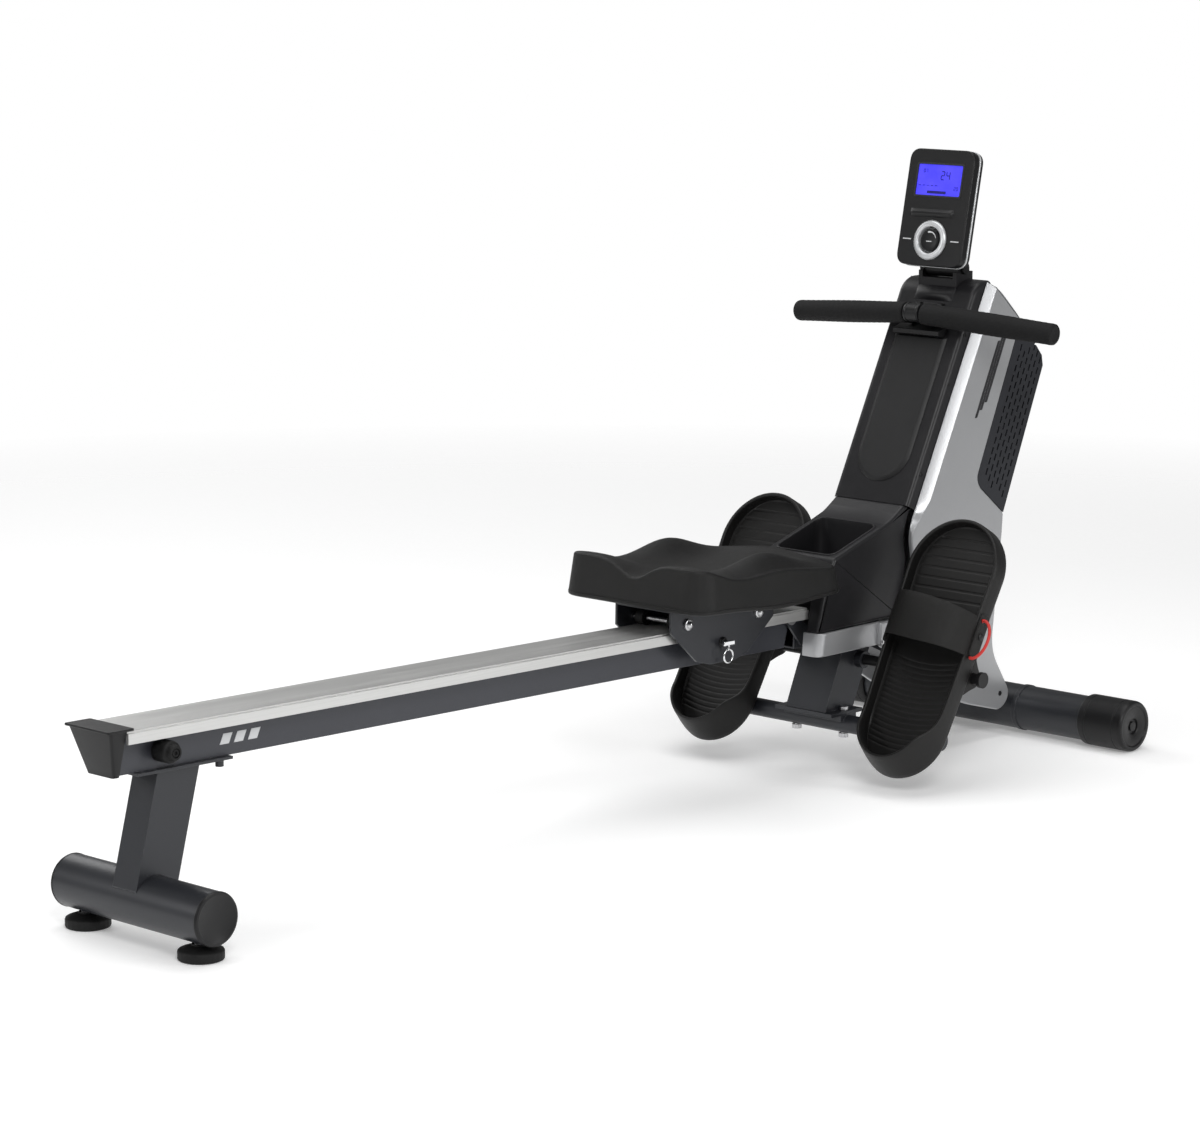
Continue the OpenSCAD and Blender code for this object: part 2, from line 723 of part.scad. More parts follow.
// moulded strap over the foot, with a finger loop at the outer edge
module pedal_strap(side) {
    leg = 86.4;                 // inner face of the strap's legs, outside the foot plate's wall
    thick = 3;
    reach = 124.2;              // outer radius of the arch
    deep = 64.2;                // centre of the arch behind the foot plate's face
    on_pedal(side) {
        intersection() {
            translate([deep, 0, 255]) difference() {
                cylinder(r = reach, h = 70, center = true);
                cylinder(r = reach - thick, h = 80, center = true);
            }
            block(-90, -22, -100, 100, 200, 310);
        }
        both_sides() block(-24, 0, leg, leg + thick, 220, 290);
        difference() {
            translate([-6, side * leg, 245]) rotate([0, 90, 0]) rotate_extrude()
                translate([29, 0]) circle(r = 2.5);
            translate([-50, side * (leg - 50) - 50, 200]) cube([100, 100, 100]);
        }
    }
}
module pedal_strap_left() { color("firebrick") pedal_strap(1); }
module pedal_strap_right() { color("firebrick") pedal_strap(-1); }

// ---- console ----

// a plate with round corners in the console's face
module face_plate(w, h, r, x0, x1) {
    translate([x0, 0, 0]) rotate([90, 0, 90]) linear_extrude(x1 - x0) union() {
        translate([-w / 2 + r, 0]) square([w - 2 * r, h]);
        translate([-w / 2, r]) square([w, h - 2 * r]);
        for (y = [-w / 2 + r, w / 2 - r], z = [r, h - r]) translate([y, z]) circle(r = r);
    }
}

module console_case() {
    color("black") on_console() difference() {
        union() {
            face_plate(console_w, console_h, 18, 0, console_t);
            block(console_t - 1, console_t + 14, -44, 44, 26, 90);
        }
        translate([3, 0, 3]) face_plate(console_w - 6, console_h - 6, 15, 0, console_t - 6);
        block(-1, 4, -47, 47, 118, 170);
        translate([-1, 0, dial_s]) rotate([0, 90, 0]) cylinder(r = 24, h = 6);
    }
}

// lug behind the casing that fits between the ears of the neck
module console_mount() {
    on_front() color("black") difference() {
        union() {
            translate([tilt_u, 0, tilt_z]) rod_y(14, -31.7, 31.7);
            translate([tilt_u, 0, tilt_z]) rotate([0, console_lean, 0]) block(-14, 4, -31.7, 31.7, 0, 30);
        }
        translate([tilt_u, 0, tilt_z]) rod_y(bolt_r + 0.02, -50, 50);
        on_console_cut();
    }
    on_front() color("silver") translate([tilt_u, 0, tilt_z]) {
        rod_y(bolt_r, -46, 46);
        both_sides() rod_y(8, 40.3, 46);
    }
}
// space taken by the casing behind the face
module on_console_cut() {
    translate([con_u, 0, con_z]) rotate([0, console_lean, 0]) {
        block(-1, console_t + 0.05, -60, 60, -20, 80);
        block(console_t - 1, console_t + 14.05, -44.05, 44.05, 25.95, 90);
    }
}

module console_screen() {
    color("blue") on_console() block(0.6, 3.6, -46.8, 46.8, 118.2, 169.8);
}

module console_dial() {
    color("silver") on_console() translate([0, 0, dial_s]) rotate([0, 90, 0]) {
        difference() {
            translate([0, 0, -4]) cylinder(r = 33, h = 3.7);
            translate([0, 0, -5]) cylinder(r = 22.5, h = 8);
        }
        difference() {
            translate([0, 0, -1]) cylinder(r = 23.9, h = 3);
            translate([0, 0, -5]) cylinder(r = 22.2, h = 12);
        }
    }
}

module console_button() {
    color("black") on_console() translate([0, 0, dial_s]) rotate([0, 90, 0])
        translate([0, 0, -3]) cylinder(r = 19, h = 5.5);
}

front_foot_tube();
base_beam();
upright_mast();
leg_tube();
rest_bar();
rest_bar_bolts();
pedal_shaft();
side_shell_left();
side_shell_right();
grille_left();
grille_right();
face_cover();
face_panel();
nose_cover();
back_cover();
strap_guide();
cover_screws();
console_neck();
fold_pin();
flywheel_axle();
flywheel();
brake_arm();
spool_shaft();
strap_spool();
return_spring_case();
drive_pulley();
drive_belt();
pull_strap();
handle_bar();
handle_grips();
handle_collar();
rail_tube();
rail_plate();
rail_end_cap();
rail_bumpers();
rail_hinge();
rear_post();
rear_foot_tube();
rear_foot_caps();
levelling_foot_left();
levelling_foot_right();
seat_pad();
seat_base();
carriage_plate_left();
carriage_plate_right();
carriage_axles();
seat_rollers_front();
seat_rollers_rear();
seat_lock_pin();
roller_cap_left();
roller_cap_right();
pedal_left();
pedal_right();
pedal_strap_left();
pedal_strap_right();
console_case();
console_mount();
console_screen();
console_dial();
console_button();
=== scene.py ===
import bmesh
import bpy
import numpy as np
from math import atan2, cos, hypot, pi, radians, sin, tan
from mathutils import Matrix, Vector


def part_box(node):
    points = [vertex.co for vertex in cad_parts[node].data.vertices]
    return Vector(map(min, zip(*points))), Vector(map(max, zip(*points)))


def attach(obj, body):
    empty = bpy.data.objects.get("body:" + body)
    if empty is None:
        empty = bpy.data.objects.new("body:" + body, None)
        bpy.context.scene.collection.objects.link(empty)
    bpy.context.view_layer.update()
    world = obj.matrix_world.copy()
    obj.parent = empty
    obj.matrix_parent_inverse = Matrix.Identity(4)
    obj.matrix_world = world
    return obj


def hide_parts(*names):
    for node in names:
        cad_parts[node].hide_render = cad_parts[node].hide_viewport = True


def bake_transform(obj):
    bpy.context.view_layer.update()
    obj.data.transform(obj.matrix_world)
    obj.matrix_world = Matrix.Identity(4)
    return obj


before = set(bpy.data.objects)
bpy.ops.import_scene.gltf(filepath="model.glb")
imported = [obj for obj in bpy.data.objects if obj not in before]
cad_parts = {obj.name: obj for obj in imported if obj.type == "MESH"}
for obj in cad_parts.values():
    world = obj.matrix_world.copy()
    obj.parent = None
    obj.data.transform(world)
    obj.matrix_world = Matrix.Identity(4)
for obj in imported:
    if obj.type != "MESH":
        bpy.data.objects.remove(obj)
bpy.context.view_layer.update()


def centre(node):
    low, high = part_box(node)
    return [(a + b) / 2 for a, b in zip(low, high)]


frontX = centre("front_foot_tube")[0]
rearX = centre("rear_foot_tube")[0]
lean = {"rail": radians(1.15), "footPlate": radians(28.8), "console": radians(11.8), "tower": radians(26.75)}
print("frame loaded with", len(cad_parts), "nodes")


# ---- camera and studio ----

view = {"place": (-4.12195, -3.8528, 1.416), "pitch": radians(79.924), "yaw": radians(-46.918),
    "lens": 111.93}
lamps = {
    "keySoftbox": {"place": (-2.6, -3.4, 3.4), "aim": (0.1, 0, 0.4), "size": 1.8, "watts": 115},
    "topSoftbox": {"place": (0.2, 0.4, 4.2), "aim": (0.1, 0, 0.3), "size": 3.6, "watts": 95},
    "rightStrip": {"place": (1.3, -3.0, 1.0), "aim": (0.7, 0, 0.6), "size": 0.9, "watts": 26},
    "leftStrip": {"place": (-3.6, 1.8, 1.8), "aim": (0.0, 0, 0.4), "size": 1.4, "watts": 35},
    "backStrip": {"place": (0.8, 3.4, 2.7), "aim": (0.4, 0, 0.5), "size": 2.0, "watts": 32},
}


def buildStudio():
    camera = bpy.data.objects.new("camera", bpy.data.cameras.new("camera"))
    camera.data.lens = view["lens"]
    camera.data.sensor_width = 36
    camera.data.clip_end = 400
    camera.location = view["place"]
    camera.rotation_euler = (view["pitch"], 0, view["yaw"])
    bpy.context.collection.objects.link(camera)
    bpy.context.scene.camera = camera
    for name, lamp in lamps.items():
        light = bpy.data.lights.new(name, "AREA")
        light.shape = "SQUARE"
        light.size = lamp["size"]
        light.energy = lamp["watts"]
        holder = bpy.data.objects.new(name, light)
        holder.location = lamp["place"]
        away = [a - b for a, b in zip(lamp["place"], lamp["aim"])]
        pitch = atan2(hypot(away[0], away[1]), away[2])
        holder.rotation_euler = (pitch, 0, atan2(away[1], away[0]) + pi / 2)
        bpy.context.collection.objects.link(holder)
    world = bpy.data.worlds.new("studio")
    world.use_nodes = True
    tree = world.node_tree
    tree.nodes.clear()
    walls = []
    for strength in (0.2, 1.0):     # what lights the object, and the white backdrop behind it
        walls.append(tree.nodes.new("ShaderNodeBackground"))
        walls[-1].inputs["Color"].default_value = (1, 1, 1, 1)
        walls[-1].inputs["Strength"].default_value = strength
    mix = tree.nodes.new("ShaderNodeMixShader")
    tree.links.new(tree.nodes.new("ShaderNodeLightPath").outputs["Is Camera Ray"], mix.inputs[0])
    tree.links.new(walls[0].outputs[0], mix.inputs[1])
    tree.links.new(walls[1].outputs[0], mix.inputs[2])
    tree.links.new(mix.outputs[0], tree.nodes.new("ShaderNodeOutputWorld").inputs[0])
    bpy.context.scene.world = world
    bpy.context.scene.view_settings.view_transform = "Standard"


# ---- shader tools ----

def feed(tree, port, value):
    # a link where the value is a wire, and the port's own value where it is a number or a colour
    if isinstance(value, Wire):
        tree.links.new(value.socket, port)
    elif value is not None:
        port.default_value = value


class Wire:
    # one socket of a shader, with arithmetic: each operation adds one Math node
    def __init__(self, tree, socket):
        self.tree = tree
        self.socket = socket

    def maths(self, operation, first, second=None):
        node = self.tree.nodes.new("ShaderNodeMath")
        node.operation = operation
        feed(self.tree, node.inputs[0], first)
        feed(self.tree, node.inputs[1], second)
        return Wire(self.tree, node.outputs[0])

    def __add__(self, other):
        return self.maths("ADD", self, other)

    def __sub__(self, other):
        return self.maths("SUBTRACT", self, other)

    def __rsub__(self, other):
        return self.maths("SUBTRACT", other, self)

    def __mul__(self, other):
        return self.maths("MULTIPLY", self, other)

    __radd__ = __add__
    __rmul__ = __mul__

    def sway(self, amount):
        # a mask centred on a half becomes a drift centred on nothing
        return (self - 0.5) * amount

    def within(self, low=0.0, high=1.0):
        return self.maths("MINIMUM", self.maths("MAXIMUM", self, low), high)


class Finish:
    # a material whose principled shader is fed by wires
    def __init__(self, name):
        self.material = bpy.data.materials.new(name)
        self.material.use_nodes = True
        self.tree = self.material.node_tree
        self.tree.nodes.clear()
        self.skin = self.tree.nodes.new("ShaderNodeBsdfPrincipled")
        output = self.tree.nodes.new("ShaderNodeOutputMaterial")
        self.tree.links.new(self.skin.outputs[0], output.inputs[0])
        self.place = self.node("TexCoord", out="Object")

    def node(self, kind, settings=None, inputs=None, out=0):
        made = self.tree.nodes.new("ShaderNode" + kind)
        for key, value in (settings or {}).items():
            setattr(made, key, value)
        for key, value in (inputs or {}).items():
            feed(self.tree, made.inputs[key], value)
        return Wire(self.tree, made.outputs[out])

    def noise(self, scale, detail=3.0, rough=0.5, stretch=None):
        spot = self.place
        if stretch:
            spot = self.node("Mapping", inputs={"Vector": spot, "Scale": stretch})
        return self.node("TexNoise", inputs={"Vector": spot, "Scale": scale, "Detail": detail,
            "Roughness": rough})

    def blend(self, factor, first, second):
        # colour mix: sockets 0, 6 and 7 are the factor and the two colours
        first = first if isinstance(first, Wire) else (*first, 1)
        second = second if isinstance(second, Wire) else (*second, 1)
        return self.node("Mix", {"data_type": "RGBA"}, {0: factor, 6: first, 7: second}, out=2)

    def rounded(self, radius):
        # the surface normal with every hard edge eased over the radius
        return self.node("Bevel", {"samples": 4}, {"Radius": radius})

    def edges(self, eased, gain=7.0):
        # 1 on convex and concave corners, 0 on flats: how far the eased normal leans from the true one
        true = self.node("NewGeometry", out="Normal")
        agree = self.node("VectorMath", {"operation": "DOT_PRODUCT"}, {0: eased, 1: true}, out="Value")
        return ((1 - agree) * gain).within()

    def bump(self, height, distance, eased=None, strength=1.0):
        self.set("Normal", self.node("Bump", inputs={
            "Strength": strength, "Distance": distance, "Height": height, "Normal": eased}))

    def set(self, port, value):
        feed(self.tree, self.skin.inputs[port], value)


def shade(colour, factor):
    return tuple(min(1.0, channel * factor) for channel in colour)


def moulded(name, colour, rough=0.45, grain=1300.0, depth=0.00009, mottle=0.2, wear=0.3,
            soft=0.0012, wornColour=None, specular=0.3):
    # base colour drifting with a broad noise, lighter scuffs on the edges, and a fine moulded grain
    look = Finish(name)
    eased = look.rounded(soft)
    broad = look.noise(5.0, 4.0, 0.6)
    scuff = look.noise(70.0, 6.0, 0.72)
    fine = look.noise(grain, 2.0, 0.6)
    worn = (look.edges(eased) * (scuff * 1.8 - 0.35).within() * wear).within()
    tone = (broad.sway(1.6) + fine.sway(0.5) + scuff.sway(0.5) + 0.5).within()
    body = look.blend(tone, shade(colour, 1 - mottle), shade(colour, 1 + mottle))
    look.set("Base Color", look.blend(worn, body, wornColour or shade(colour, 2.4)))
    look.set("Roughness", (broad.sway(0.18) + scuff.sway(0.16) + fine.sway(0.08)
        + rough - worn * 0.1).within(0.05))
    look.set("Specular IOR Level", specular)
    look.bump(fine + scuff * 0.35, depth, eased)
    return look.material


def powderCoat(name, colour):
    # orange-peel ripple under a fine sparkle, with bright chips on a few edges
    look = Finish(name)
    eased = look.rounded(0.0016)
    peel = look.noise(420.0, 2.0, 0.5)
    speck = look.noise(2400.0, 1.0, 0.5)
    broad = look.noise(4.0, 4.0, 0.6)
    rub = look.noise(55.0, 6.0, 0.75)
    worn = (look.edges(eased) * (rub * 2.2 - 0.75).within() * 0.5).within()
    body = look.blend(((broad - 0.5) + speck * 0.7 + 0.1).within(), shade(colour, 0.78), shade(colour, 1.3))
    look.set("Base Color", look.blend(worn, body, (0.21, 0.215, 0.225)))
    look.set("Roughness", (broad.sway(0.2) + peel.sway(0.12) + 0.4 - worn * 0.08).within(0.1))
    look.set("Metallic", 0.25)
    look.set("Coat Weight", 0.15)
    look.set("Coat Roughness", 0.25)
    look.bump(peel + speck * 0.3, 0.00012, eased)
    return look.material


def anodised(name, colour):
    # drawn lines along the extrusion in roughness and height, with faint roller tracks
    look = Finish(name)
    eased = look.rounded(0.0008)
    drawn = look.noise(1.0, 3.0, 0.6, stretch=(1.2, 620.0, 620.0))
    coarse = look.noise(1.0, 3.0, 0.5, stretch=(0.6, 90.0, 90.0))
    cloud = look.noise(3.0, 4.0, 0.6)
    tone = (drawn.sway(0.9) + coarse.sway(0.7) + cloud.sway(0.5) + 0.5).within()
    look.set("Base Color", look.blend(tone, shade(colour, 0.86), shade(colour, 1.12)))
    look.set("Roughness", (drawn.sway(0.22) + coarse.sway(0.14) + 0.4).within(0.1))
    look.set("Metallic", 0.82)
    look.bump(drawn + coarse * 0.5, 0.00005, eased)
    return look.material


def silverPaint(name, colour):
    # metal flakes of two sizes under a thin clear coat
    look = Finish(name)
    eased = look.rounded(0.0014)
    flake = look.node("TexVoronoi", inputs={"Vector": look.place, "Scale": 2600.0}, out="Color")
    glint = look.node("SeparateColor", inputs={0: flake})
    broad = look.noise(3.5, 4.0, 0.6)
    scuff = look.noise(60.0, 6.0, 0.75)
    worn = (look.edges(eased) * (scuff * 2.0 - 0.7).within() * 0.35).within()
    body = look.blend((glint.sway(0.55) + broad.sway(0.5) + 0.5).within(), shade(colour, 0.86),
        shade(colour, 1.13))
    look.set("Base Color", look.blend(worn, body, shade(colour, 0.5)))
    look.set("Roughness", (broad.sway(0.12) + glint.sway(0.1) + scuff.sway(0.1) + 0.36).within(0.1))
    look.set("Metallic", 0.55)
    look.set("Coat Weight", 0.35)
    look.set("Coat Roughness", 0.12)
    look.bump(look.noise(500.0, 2.0) + glint * 0.3, 0.00004, eased)
    return look.material


def pebbled(name, colour, cell=900.0, rough=0.5, depth=0.00025):
    # leather-like pebbles from cell edges, lighter where the broad noise is high, and the pebbles' tops a
    # little lighter than the creases between them
    look = Finish(name)
    eased = look.rounded(0.0012)
    pebble = look.node("TexVoronoi", {"feature": "DISTANCE_TO_EDGE"}, {"Vector": look.place, "Scale": cell})
    broad = look.noise(7.0, 4.0, 0.6)
    mid = look.noise(180.0, 4.0, 0.6)
    height = (pebble * 5.0).within() + mid * 0.5
    tone = (broad.sway(1.3) + mid.sway(0.6) + height * 0.2 + 0.3).within()
    look.set("Base Color", look.blend(tone, shade(colour, 0.7), shade(colour, 1.5)))
    look.set("Roughness", (broad.sway(0.2) + mid.sway(0.15) + rough).within(0.1))
    look.set("Specular IOR Level", 0.28)
    look.bump(height, depth, eased, 0.8)
    return look.material


def foam(name, colour):
    # open cells of two sizes, matt, with the colour following the height: lighter on the high spots and
    # darker in the cells' hollows
    look = Finish(name)
    cell = look.node("TexVoronoi", inputs={"Vector": look.place, "Scale": 620.0})
    small = look.noise(1500.0, 3.0, 0.7)
    broad = look.noise(12.0, 3.0, 0.6)
    height = (1 - cell) * 0.8 + small * 0.6
    look.set("Base Color", look.blend((height * 0.45 + broad.sway(0.8)).within(), shade(colour, 0.6),
        shade(colour, 1.7)))
    look.set("Roughness", (small.sway(0.2) + broad.sway(0.12) + 0.78).within(0.3))
    look.set("Specular IOR Level", 0.25)
    look.bump(height, 0.0005, None, 0.7)
    return look.material


def metal(name, colour, rough=0.25, lines=(40.0, 900.0, 40.0), soft=0.0006, metallic=1.0):
    # turned or brushed metal: fine lines in height and roughness clouds
    look = Finish(name)
    eased = look.rounded(soft)
    line = look.noise(1.0, 3.0, 0.6, stretch=lines)
    cloud = look.noise(25.0, 5.0, 0.65)
    look.set("Base Color", look.blend((cloud.sway(1.2) + line.sway(0.5) + 0.5).within(), shade(colour, 0.75),
        shade(colour, 1.12)))
    look.set("Roughness", (cloud.sway(0.25) + line.sway(0.2) + rough).within(0.04))
    look.set("Metallic", metallic)
    look.bump(line, 0.00003, eased)
    return look.material


def webbing(name, colour):
    # slanting ribs that cross over the strap's length, as in woven nylon
    look = Finish(name)
    parts = look.node("Mapping", inputs={"Vector": look.place, "Scale": (900.0, 1500.0, 900.0)})
    weave = look.node("TexWave", {"wave_type": "BANDS", "bands_direction": "DIAGONAL"},
        {"Vector": parts, "Scale": 0.35, "Distortion": 0.6})
    cross = look.node("TexWave", {"wave_type": "BANDS", "bands_direction": "Y"},
        {"Vector": parts, "Scale": 0.5})
    fuzz = look.noise(2200.0, 3.0, 0.7)
    height = weave * 0.7 + cross * 0.5 + fuzz * 0.2
    look.set("Base Color", look.blend((height * 0.6 + fuzz.sway(0.5)).within(), shade(colour, 0.5),
        shade(colour, 1.9)))
    look.set("Roughness", (fuzz * 0.15 + 0.72).within())
    look.set("Sheen Weight", 0.25)
    look.bump(height, 0.0004, None, 0.8)
    return look.material


def litDisplay(name):
    # backlit liquid crystal: a blue field that is brighter in soft patches, with a fine cell mesh
    look = Finish(name)
    cell = look.noise(1800.0, 1.0, 0.4)
    cloud = look.noise(30.0, 2.0, 0.5)
    glow = look.blend((cloud * 0.8 + cell.sway(0.4)).within(), (0.035, 0.03, 0.7), (0.09, 0.075, 0.92))
    look.set("Base Color", glow)
    look.set("Emission Color", glow)
    look.set("Emission Strength", 0.55)
    look.set("Roughness", (cell * 0.1 + 0.4).within())
    look.set("Specular IOR Level", 0.25)
    return look.material


def floorPaint(name):
    # pale paint with faint dust, which fades out far from the object
    look = Finish(name)
    dust = look.noise(0.8, 3.0)
    pale = look.blend(dust, (0.88, 0.88, 0.88), (0.91, 0.91, 0.91))
    look.set("Base Color", pale)
    look.set("Emission Color", pale)
    look.set("Emission Strength", 0.24)
    look.set("Roughness", (dust * 0.1 + 0.75).within())
    far = look.node("VectorMath", {"operation": "LENGTH"}, {0: look.place}, out="Value")
    look.set("Alpha", (1 - (far - 1.7) * 0.36).within())
    look.set("Specular IOR Level", 0.2)
    return look.material


paint = {
    "coat": powderCoat("powder coat", (0.02, 0.0215, 0.026)),
    "railCoat": powderCoat("blue-grey powder coat", (0.034, 0.036, 0.044)),
    "rail": anodised("anodised rail", (0.6, 0.6, 0.59)),
    "cover": moulded("charcoal cover", (0.0125, 0.0122, 0.0135), 0.36, wear=0.2, mottle=0.16),
    "panel": moulded("charcoal panel", (0.0145, 0.0145, 0.015), 0.45, mottle=0.14, wear=0.25),
    "trim": moulded("black trim", (0.0065, 0.0065, 0.007), 0.38, wear=0.25),
    "sole": moulded("foot plate moulding", (0.0075, 0.0072, 0.007), 0.46, 900.0, 0.00016, 0.28, 0.35),
    "strap": pebbled("foot strap moulding", (0.008, 0.0077, 0.0073), 1100.0, 0.5, 0.00016),
    "mesh": moulded("grille moulding", (0.017, 0.018, 0.022), 0.42, wear=0.3),
    "silver": silverPaint("silver paint", (0.41, 0.415, 0.425)),
    "brightTrim": silverPaint("bright silver paint", (0.6, 0.61, 0.62)),
    "zinc": metal("zinc plate", (0.6, 0.6, 0.61), 0.32),
    "chrome": metal("chrome", (0.82, 0.83, 0.84), 0.1),
    "iron": metal("turned iron", (0.2, 0.2, 0.21), 0.42, (260.0, 20.0, 260.0)),
    "grip": foam("grip foam", (0.008, 0.008, 0.0083)),
    "rubber": moulded("rubber", (0.008, 0.008, 0.008), 0.6, 700.0, 0.00018, 0.3, 0.3, specular=0.25),
    "seat": pebbled("seat skin", (0.0065, 0.0064, 0.0062), 1250.0, 0.42, 0.00014),
    "web": webbing("nylon webbing", (0.014, 0.014, 0.016)),
    "red": moulded("red loop", (0.5, 0.035, 0.03), 0.4, wear=0.1, wornColour=(0.6, 0.2, 0.18)),
    "display": litDisplay("lit display"),
    "ink": moulded("display ink", (0.012, 0.01, 0.16), 0.3, wear=0.0),
    "label": moulded("pale print", (0.62, 0.63, 0.64), 0.5, wear=0.0, mottle=0.08),
    "darkLabel": moulded("dark print", (0.02, 0.02, 0.022), 0.45, wear=0.0),
    "floor": floorPaint("studio floor"),
}
print("finishes made:", len(paint))

nodeFinish = {
    "coat": ("front_foot_tube", "base_beam", "upright_mast", "leg_tube", "rest_bar", "rear_post",
    "rear_foot_tube",
             "seat_base", "carriage_plate_left", "carriage_plate_right", "handle_bar"),
    "railCoat": ("rail_tube", "rail_hinge"),
    "rail": ("rail_plate",),
    "cover": ("nose_cover", "face_cover", "back_cover", "console_neck"),
    "panel": ("face_panel",),
    "trim": ("strap_guide", "pedal_shaft", "console_case", "console_button", "rail_end_cap", "rear_foot_caps",
             "console_mount", "return_spring_case", "strap_spool", "drive_pulley", "cover_screws",
             "roller_cap_left", "roller_cap_right", "handle_collar"),
    "mesh": ("grille_left", "grille_right"),
    "silver": ("side_shell_left", "side_shell_right"),
    "brightTrim": ("console_dial",),
    "zinc": ("rest_bar_bolts", "fold_pin", "flywheel_axle", "brake_arm",
             "spool_shaft", "carriage_axles"),
    "chrome": ("seat_lock_pin",),
    "iron": ("flywheel",),
    "grip": ("handle_grips",),
    "rubber": ("rail_bumpers", "levelling_foot_left", "levelling_foot_right", "seat_rollers_front",
               "seat_rollers_rear", "drive_belt"),
    "seat": ("seat_pad",),
    "web": ("pull_strap",),
    "sole": ("pedal_left", "pedal_right"),
    "strap": ("pedal_strap_left", "pedal_strap_right"),
    "display": ("console_screen",),
}


def dressNodes():
    for finish, names in nodeFinish.items():
        for name in names:
            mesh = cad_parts[name].data
            mesh.materials.clear()
            mesh.materials.append(paint[finish])


# ---- surfaces ----

def turned(points, angle, place):
    # turned about Y by the angle and moved: x becomes x cos + z sin, and z becomes z cos - x sin
    x, y, z = points[..., 0], points[..., 1], points[..., 2]
    return np.stack([x * cos(angle) + z * sin(angle) + place[0], y + place[1],
                     z * cos(angle) - x * sin(angle) + place[2]], axis=-1)


def onRail(points):
    return turned(points, lean["rail"], (rearX, 0, 0.3116))


def onSeat(points):
    return onRail(points + np.array([1.14, 0, 0]))


def onFootPlate(points, side):
    return turned(points, lean["footPlate"], (frontX - 0.510, side * 0.202, 0.027))


def onConsole(points):
    return turned(points, lean["console"], (frontX - 0.173, 0, 0.811))


def onTower(points):
    return points + np.array([frontX, 0, 0])


def faceX(z):
    # where the tower's sloping face is at the height z, seen from the front foot tube
    return -0.308 + np.tan(lean["tower"]) * (z - 0.45)


def tubeFaces(rows, columns, capped=True, ring=False):
    # quads from each ring of points to the next, and one face over each end
    last = rows if ring else rows - 1
    i, j = np.meshgrid(np.arange(last), np.arange(columns), indexing="ij")
    k = (j + 1) % columns
    n = (i + 1) % rows
    quads = np.stack([i * columns + j, i * columns + k, n * columns + k, n * columns + j], axis=-1)
    faces = quads.reshape(-1, 4).tolist()
    if capped and not ring:
        faces.append(list(range(columns)))
        faces.append(list(range((rows - 1) * columns, rows * columns)))
    return faces


def smooth(mesh, sharp=38, broad=1.0):
    # smooth shading up to the sharp angle, and flat shading on faces over an end or broader than broad
    mesh.shade_smooth()
    mesh.set_sharp_from_angle(angle=radians(sharp))
    sides = np.zeros(len(mesh.polygons), np.int32)
    mesh.polygons.foreach_get("loop_total", sides)
    area = np.zeros(len(mesh.polygons), np.float32)
    mesh.polygons.foreach_get("area", area)
    mesh.polygons.foreach_set("use_smooth", (sides < 9) & (area < broad))


def addPiece(name, points, faces, body, finish, stands=(), sharp=38):
    mesh = bpy.data.meshes.new(name)
    mesh.from_pydata(np.asarray(points).reshape(-1, 3).tolist(), [], faces)
    work = bmesh.new()
    work.from_mesh(mesh)
    bmesh.ops.remove_doubles(work, verts=work.verts, dist=0.000002)
    bmesh.ops.recalc_face_normals(work, faces=work.faces)
    work.to_mesh(mesh)
    work.free()
    smooth(mesh, sharp)
    mesh.materials.append(paint[finish])
    made = bpy.data.objects.new(name, mesh)
    bpy.context.collection.objects.link(made)
    if body:
        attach(made, body)
    if stands:
        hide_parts(*stands)
    return made


def addRings(name, rings, body, finish, stands=(), ring=False, sharp=38):
    rows, columns = rings.shape[:2]
    return addPiece(name, rings, tubeFaces(rows, columns, True, ring), body, finish, stands, sharp)


def softCorners(corners, radius, steps=6):
    # each corner of a closed outline becomes a quadratic curve between points at the radius on both sides
    corners = np.asarray(corners, float)
    radius = np.broadcast_to(np.asarray(radius, float), len(corners))
    before = np.roll(corners, 1, 0) - corners
    after = np.roll(corners, -1, 0) - corners
    reach = np.minimum(np.linalg.norm(before, axis=1), np.linalg.norm(after, axis=1)) * 0.49
    size = np.minimum(radius, reach)[:, None]
    start = corners + before / np.linalg.norm(before, axis=1)[:, None] * size
    end = corners + after / np.linalg.norm(after, axis=1)[:, None] * size
    t = np.linspace(0, 1, steps)[None, :, None]
    curve = (1 - t) ** 2 * start[:, None] + 2 * t * (1 - t) * corners[:, None] + t ** 2 * end[:, None]
    return curve.reshape(-1, 2)


def softLine(points, radius, steps=6):
    # an open line with its inner corners rounded: the closed form without its two end corners
    points = np.asarray(points, float)
    inner = softCorners(points, radius, steps).reshape(len(points), steps, 2)[1:-1].reshape(-1, 2)
    return np.concatenate([points[:1], inner, points[-1:]])


def inward(outline):
    # unit normals that point into a closed outline, from the direction between each point's neighbours
    step = np.roll(outline, -1, 0) - np.roll(outline, 1, 0)
    step = step / np.maximum(np.linalg.norm(step, axis=1)[:, None], 1e-9)
    ahead = np.roll(outline, -1, 0)
    area = np.sum(outline[:, 0] * ahead[:, 1] - ahead[:, 0] * outline[:, 1])
    return np.stack([-step[:, 1], step[:, 0]], axis=1) * (1 if area > 0 else -1)


def plate(outline, low, high, edge, steps=5, topEdge=None):
    # the outline at each height, drawn in by edge (1 - sin a) at edge (1 - cos a) from either face
    top = edge if topEdge is None else topEdge
    a = np.linspace(0, pi / 2, steps)
    inset = np.concatenate([edge * (1 - np.sin(a)), (top * (1 - np.sin(a)))[::-1]])
    height = np.concatenate([low + edge * (1 - np.cos(a)), (high - top * (1 - np.cos(a)))[::-1]])
    flat = outline[None] + inward(outline)[None] * inset[:, None, None]
    return np.concatenate([flat, np.broadcast_to(height[:, None, None], flat.shape[:2] + (1,))], axis=-1)


def roundBox(width, height, radius, steps=8):
    # a centred rectangle with round corners
    w, h = width / 2, height / 2
    return softCorners([(-w, -h), (w, -h), (w, h), (-w, h)], radius, steps)


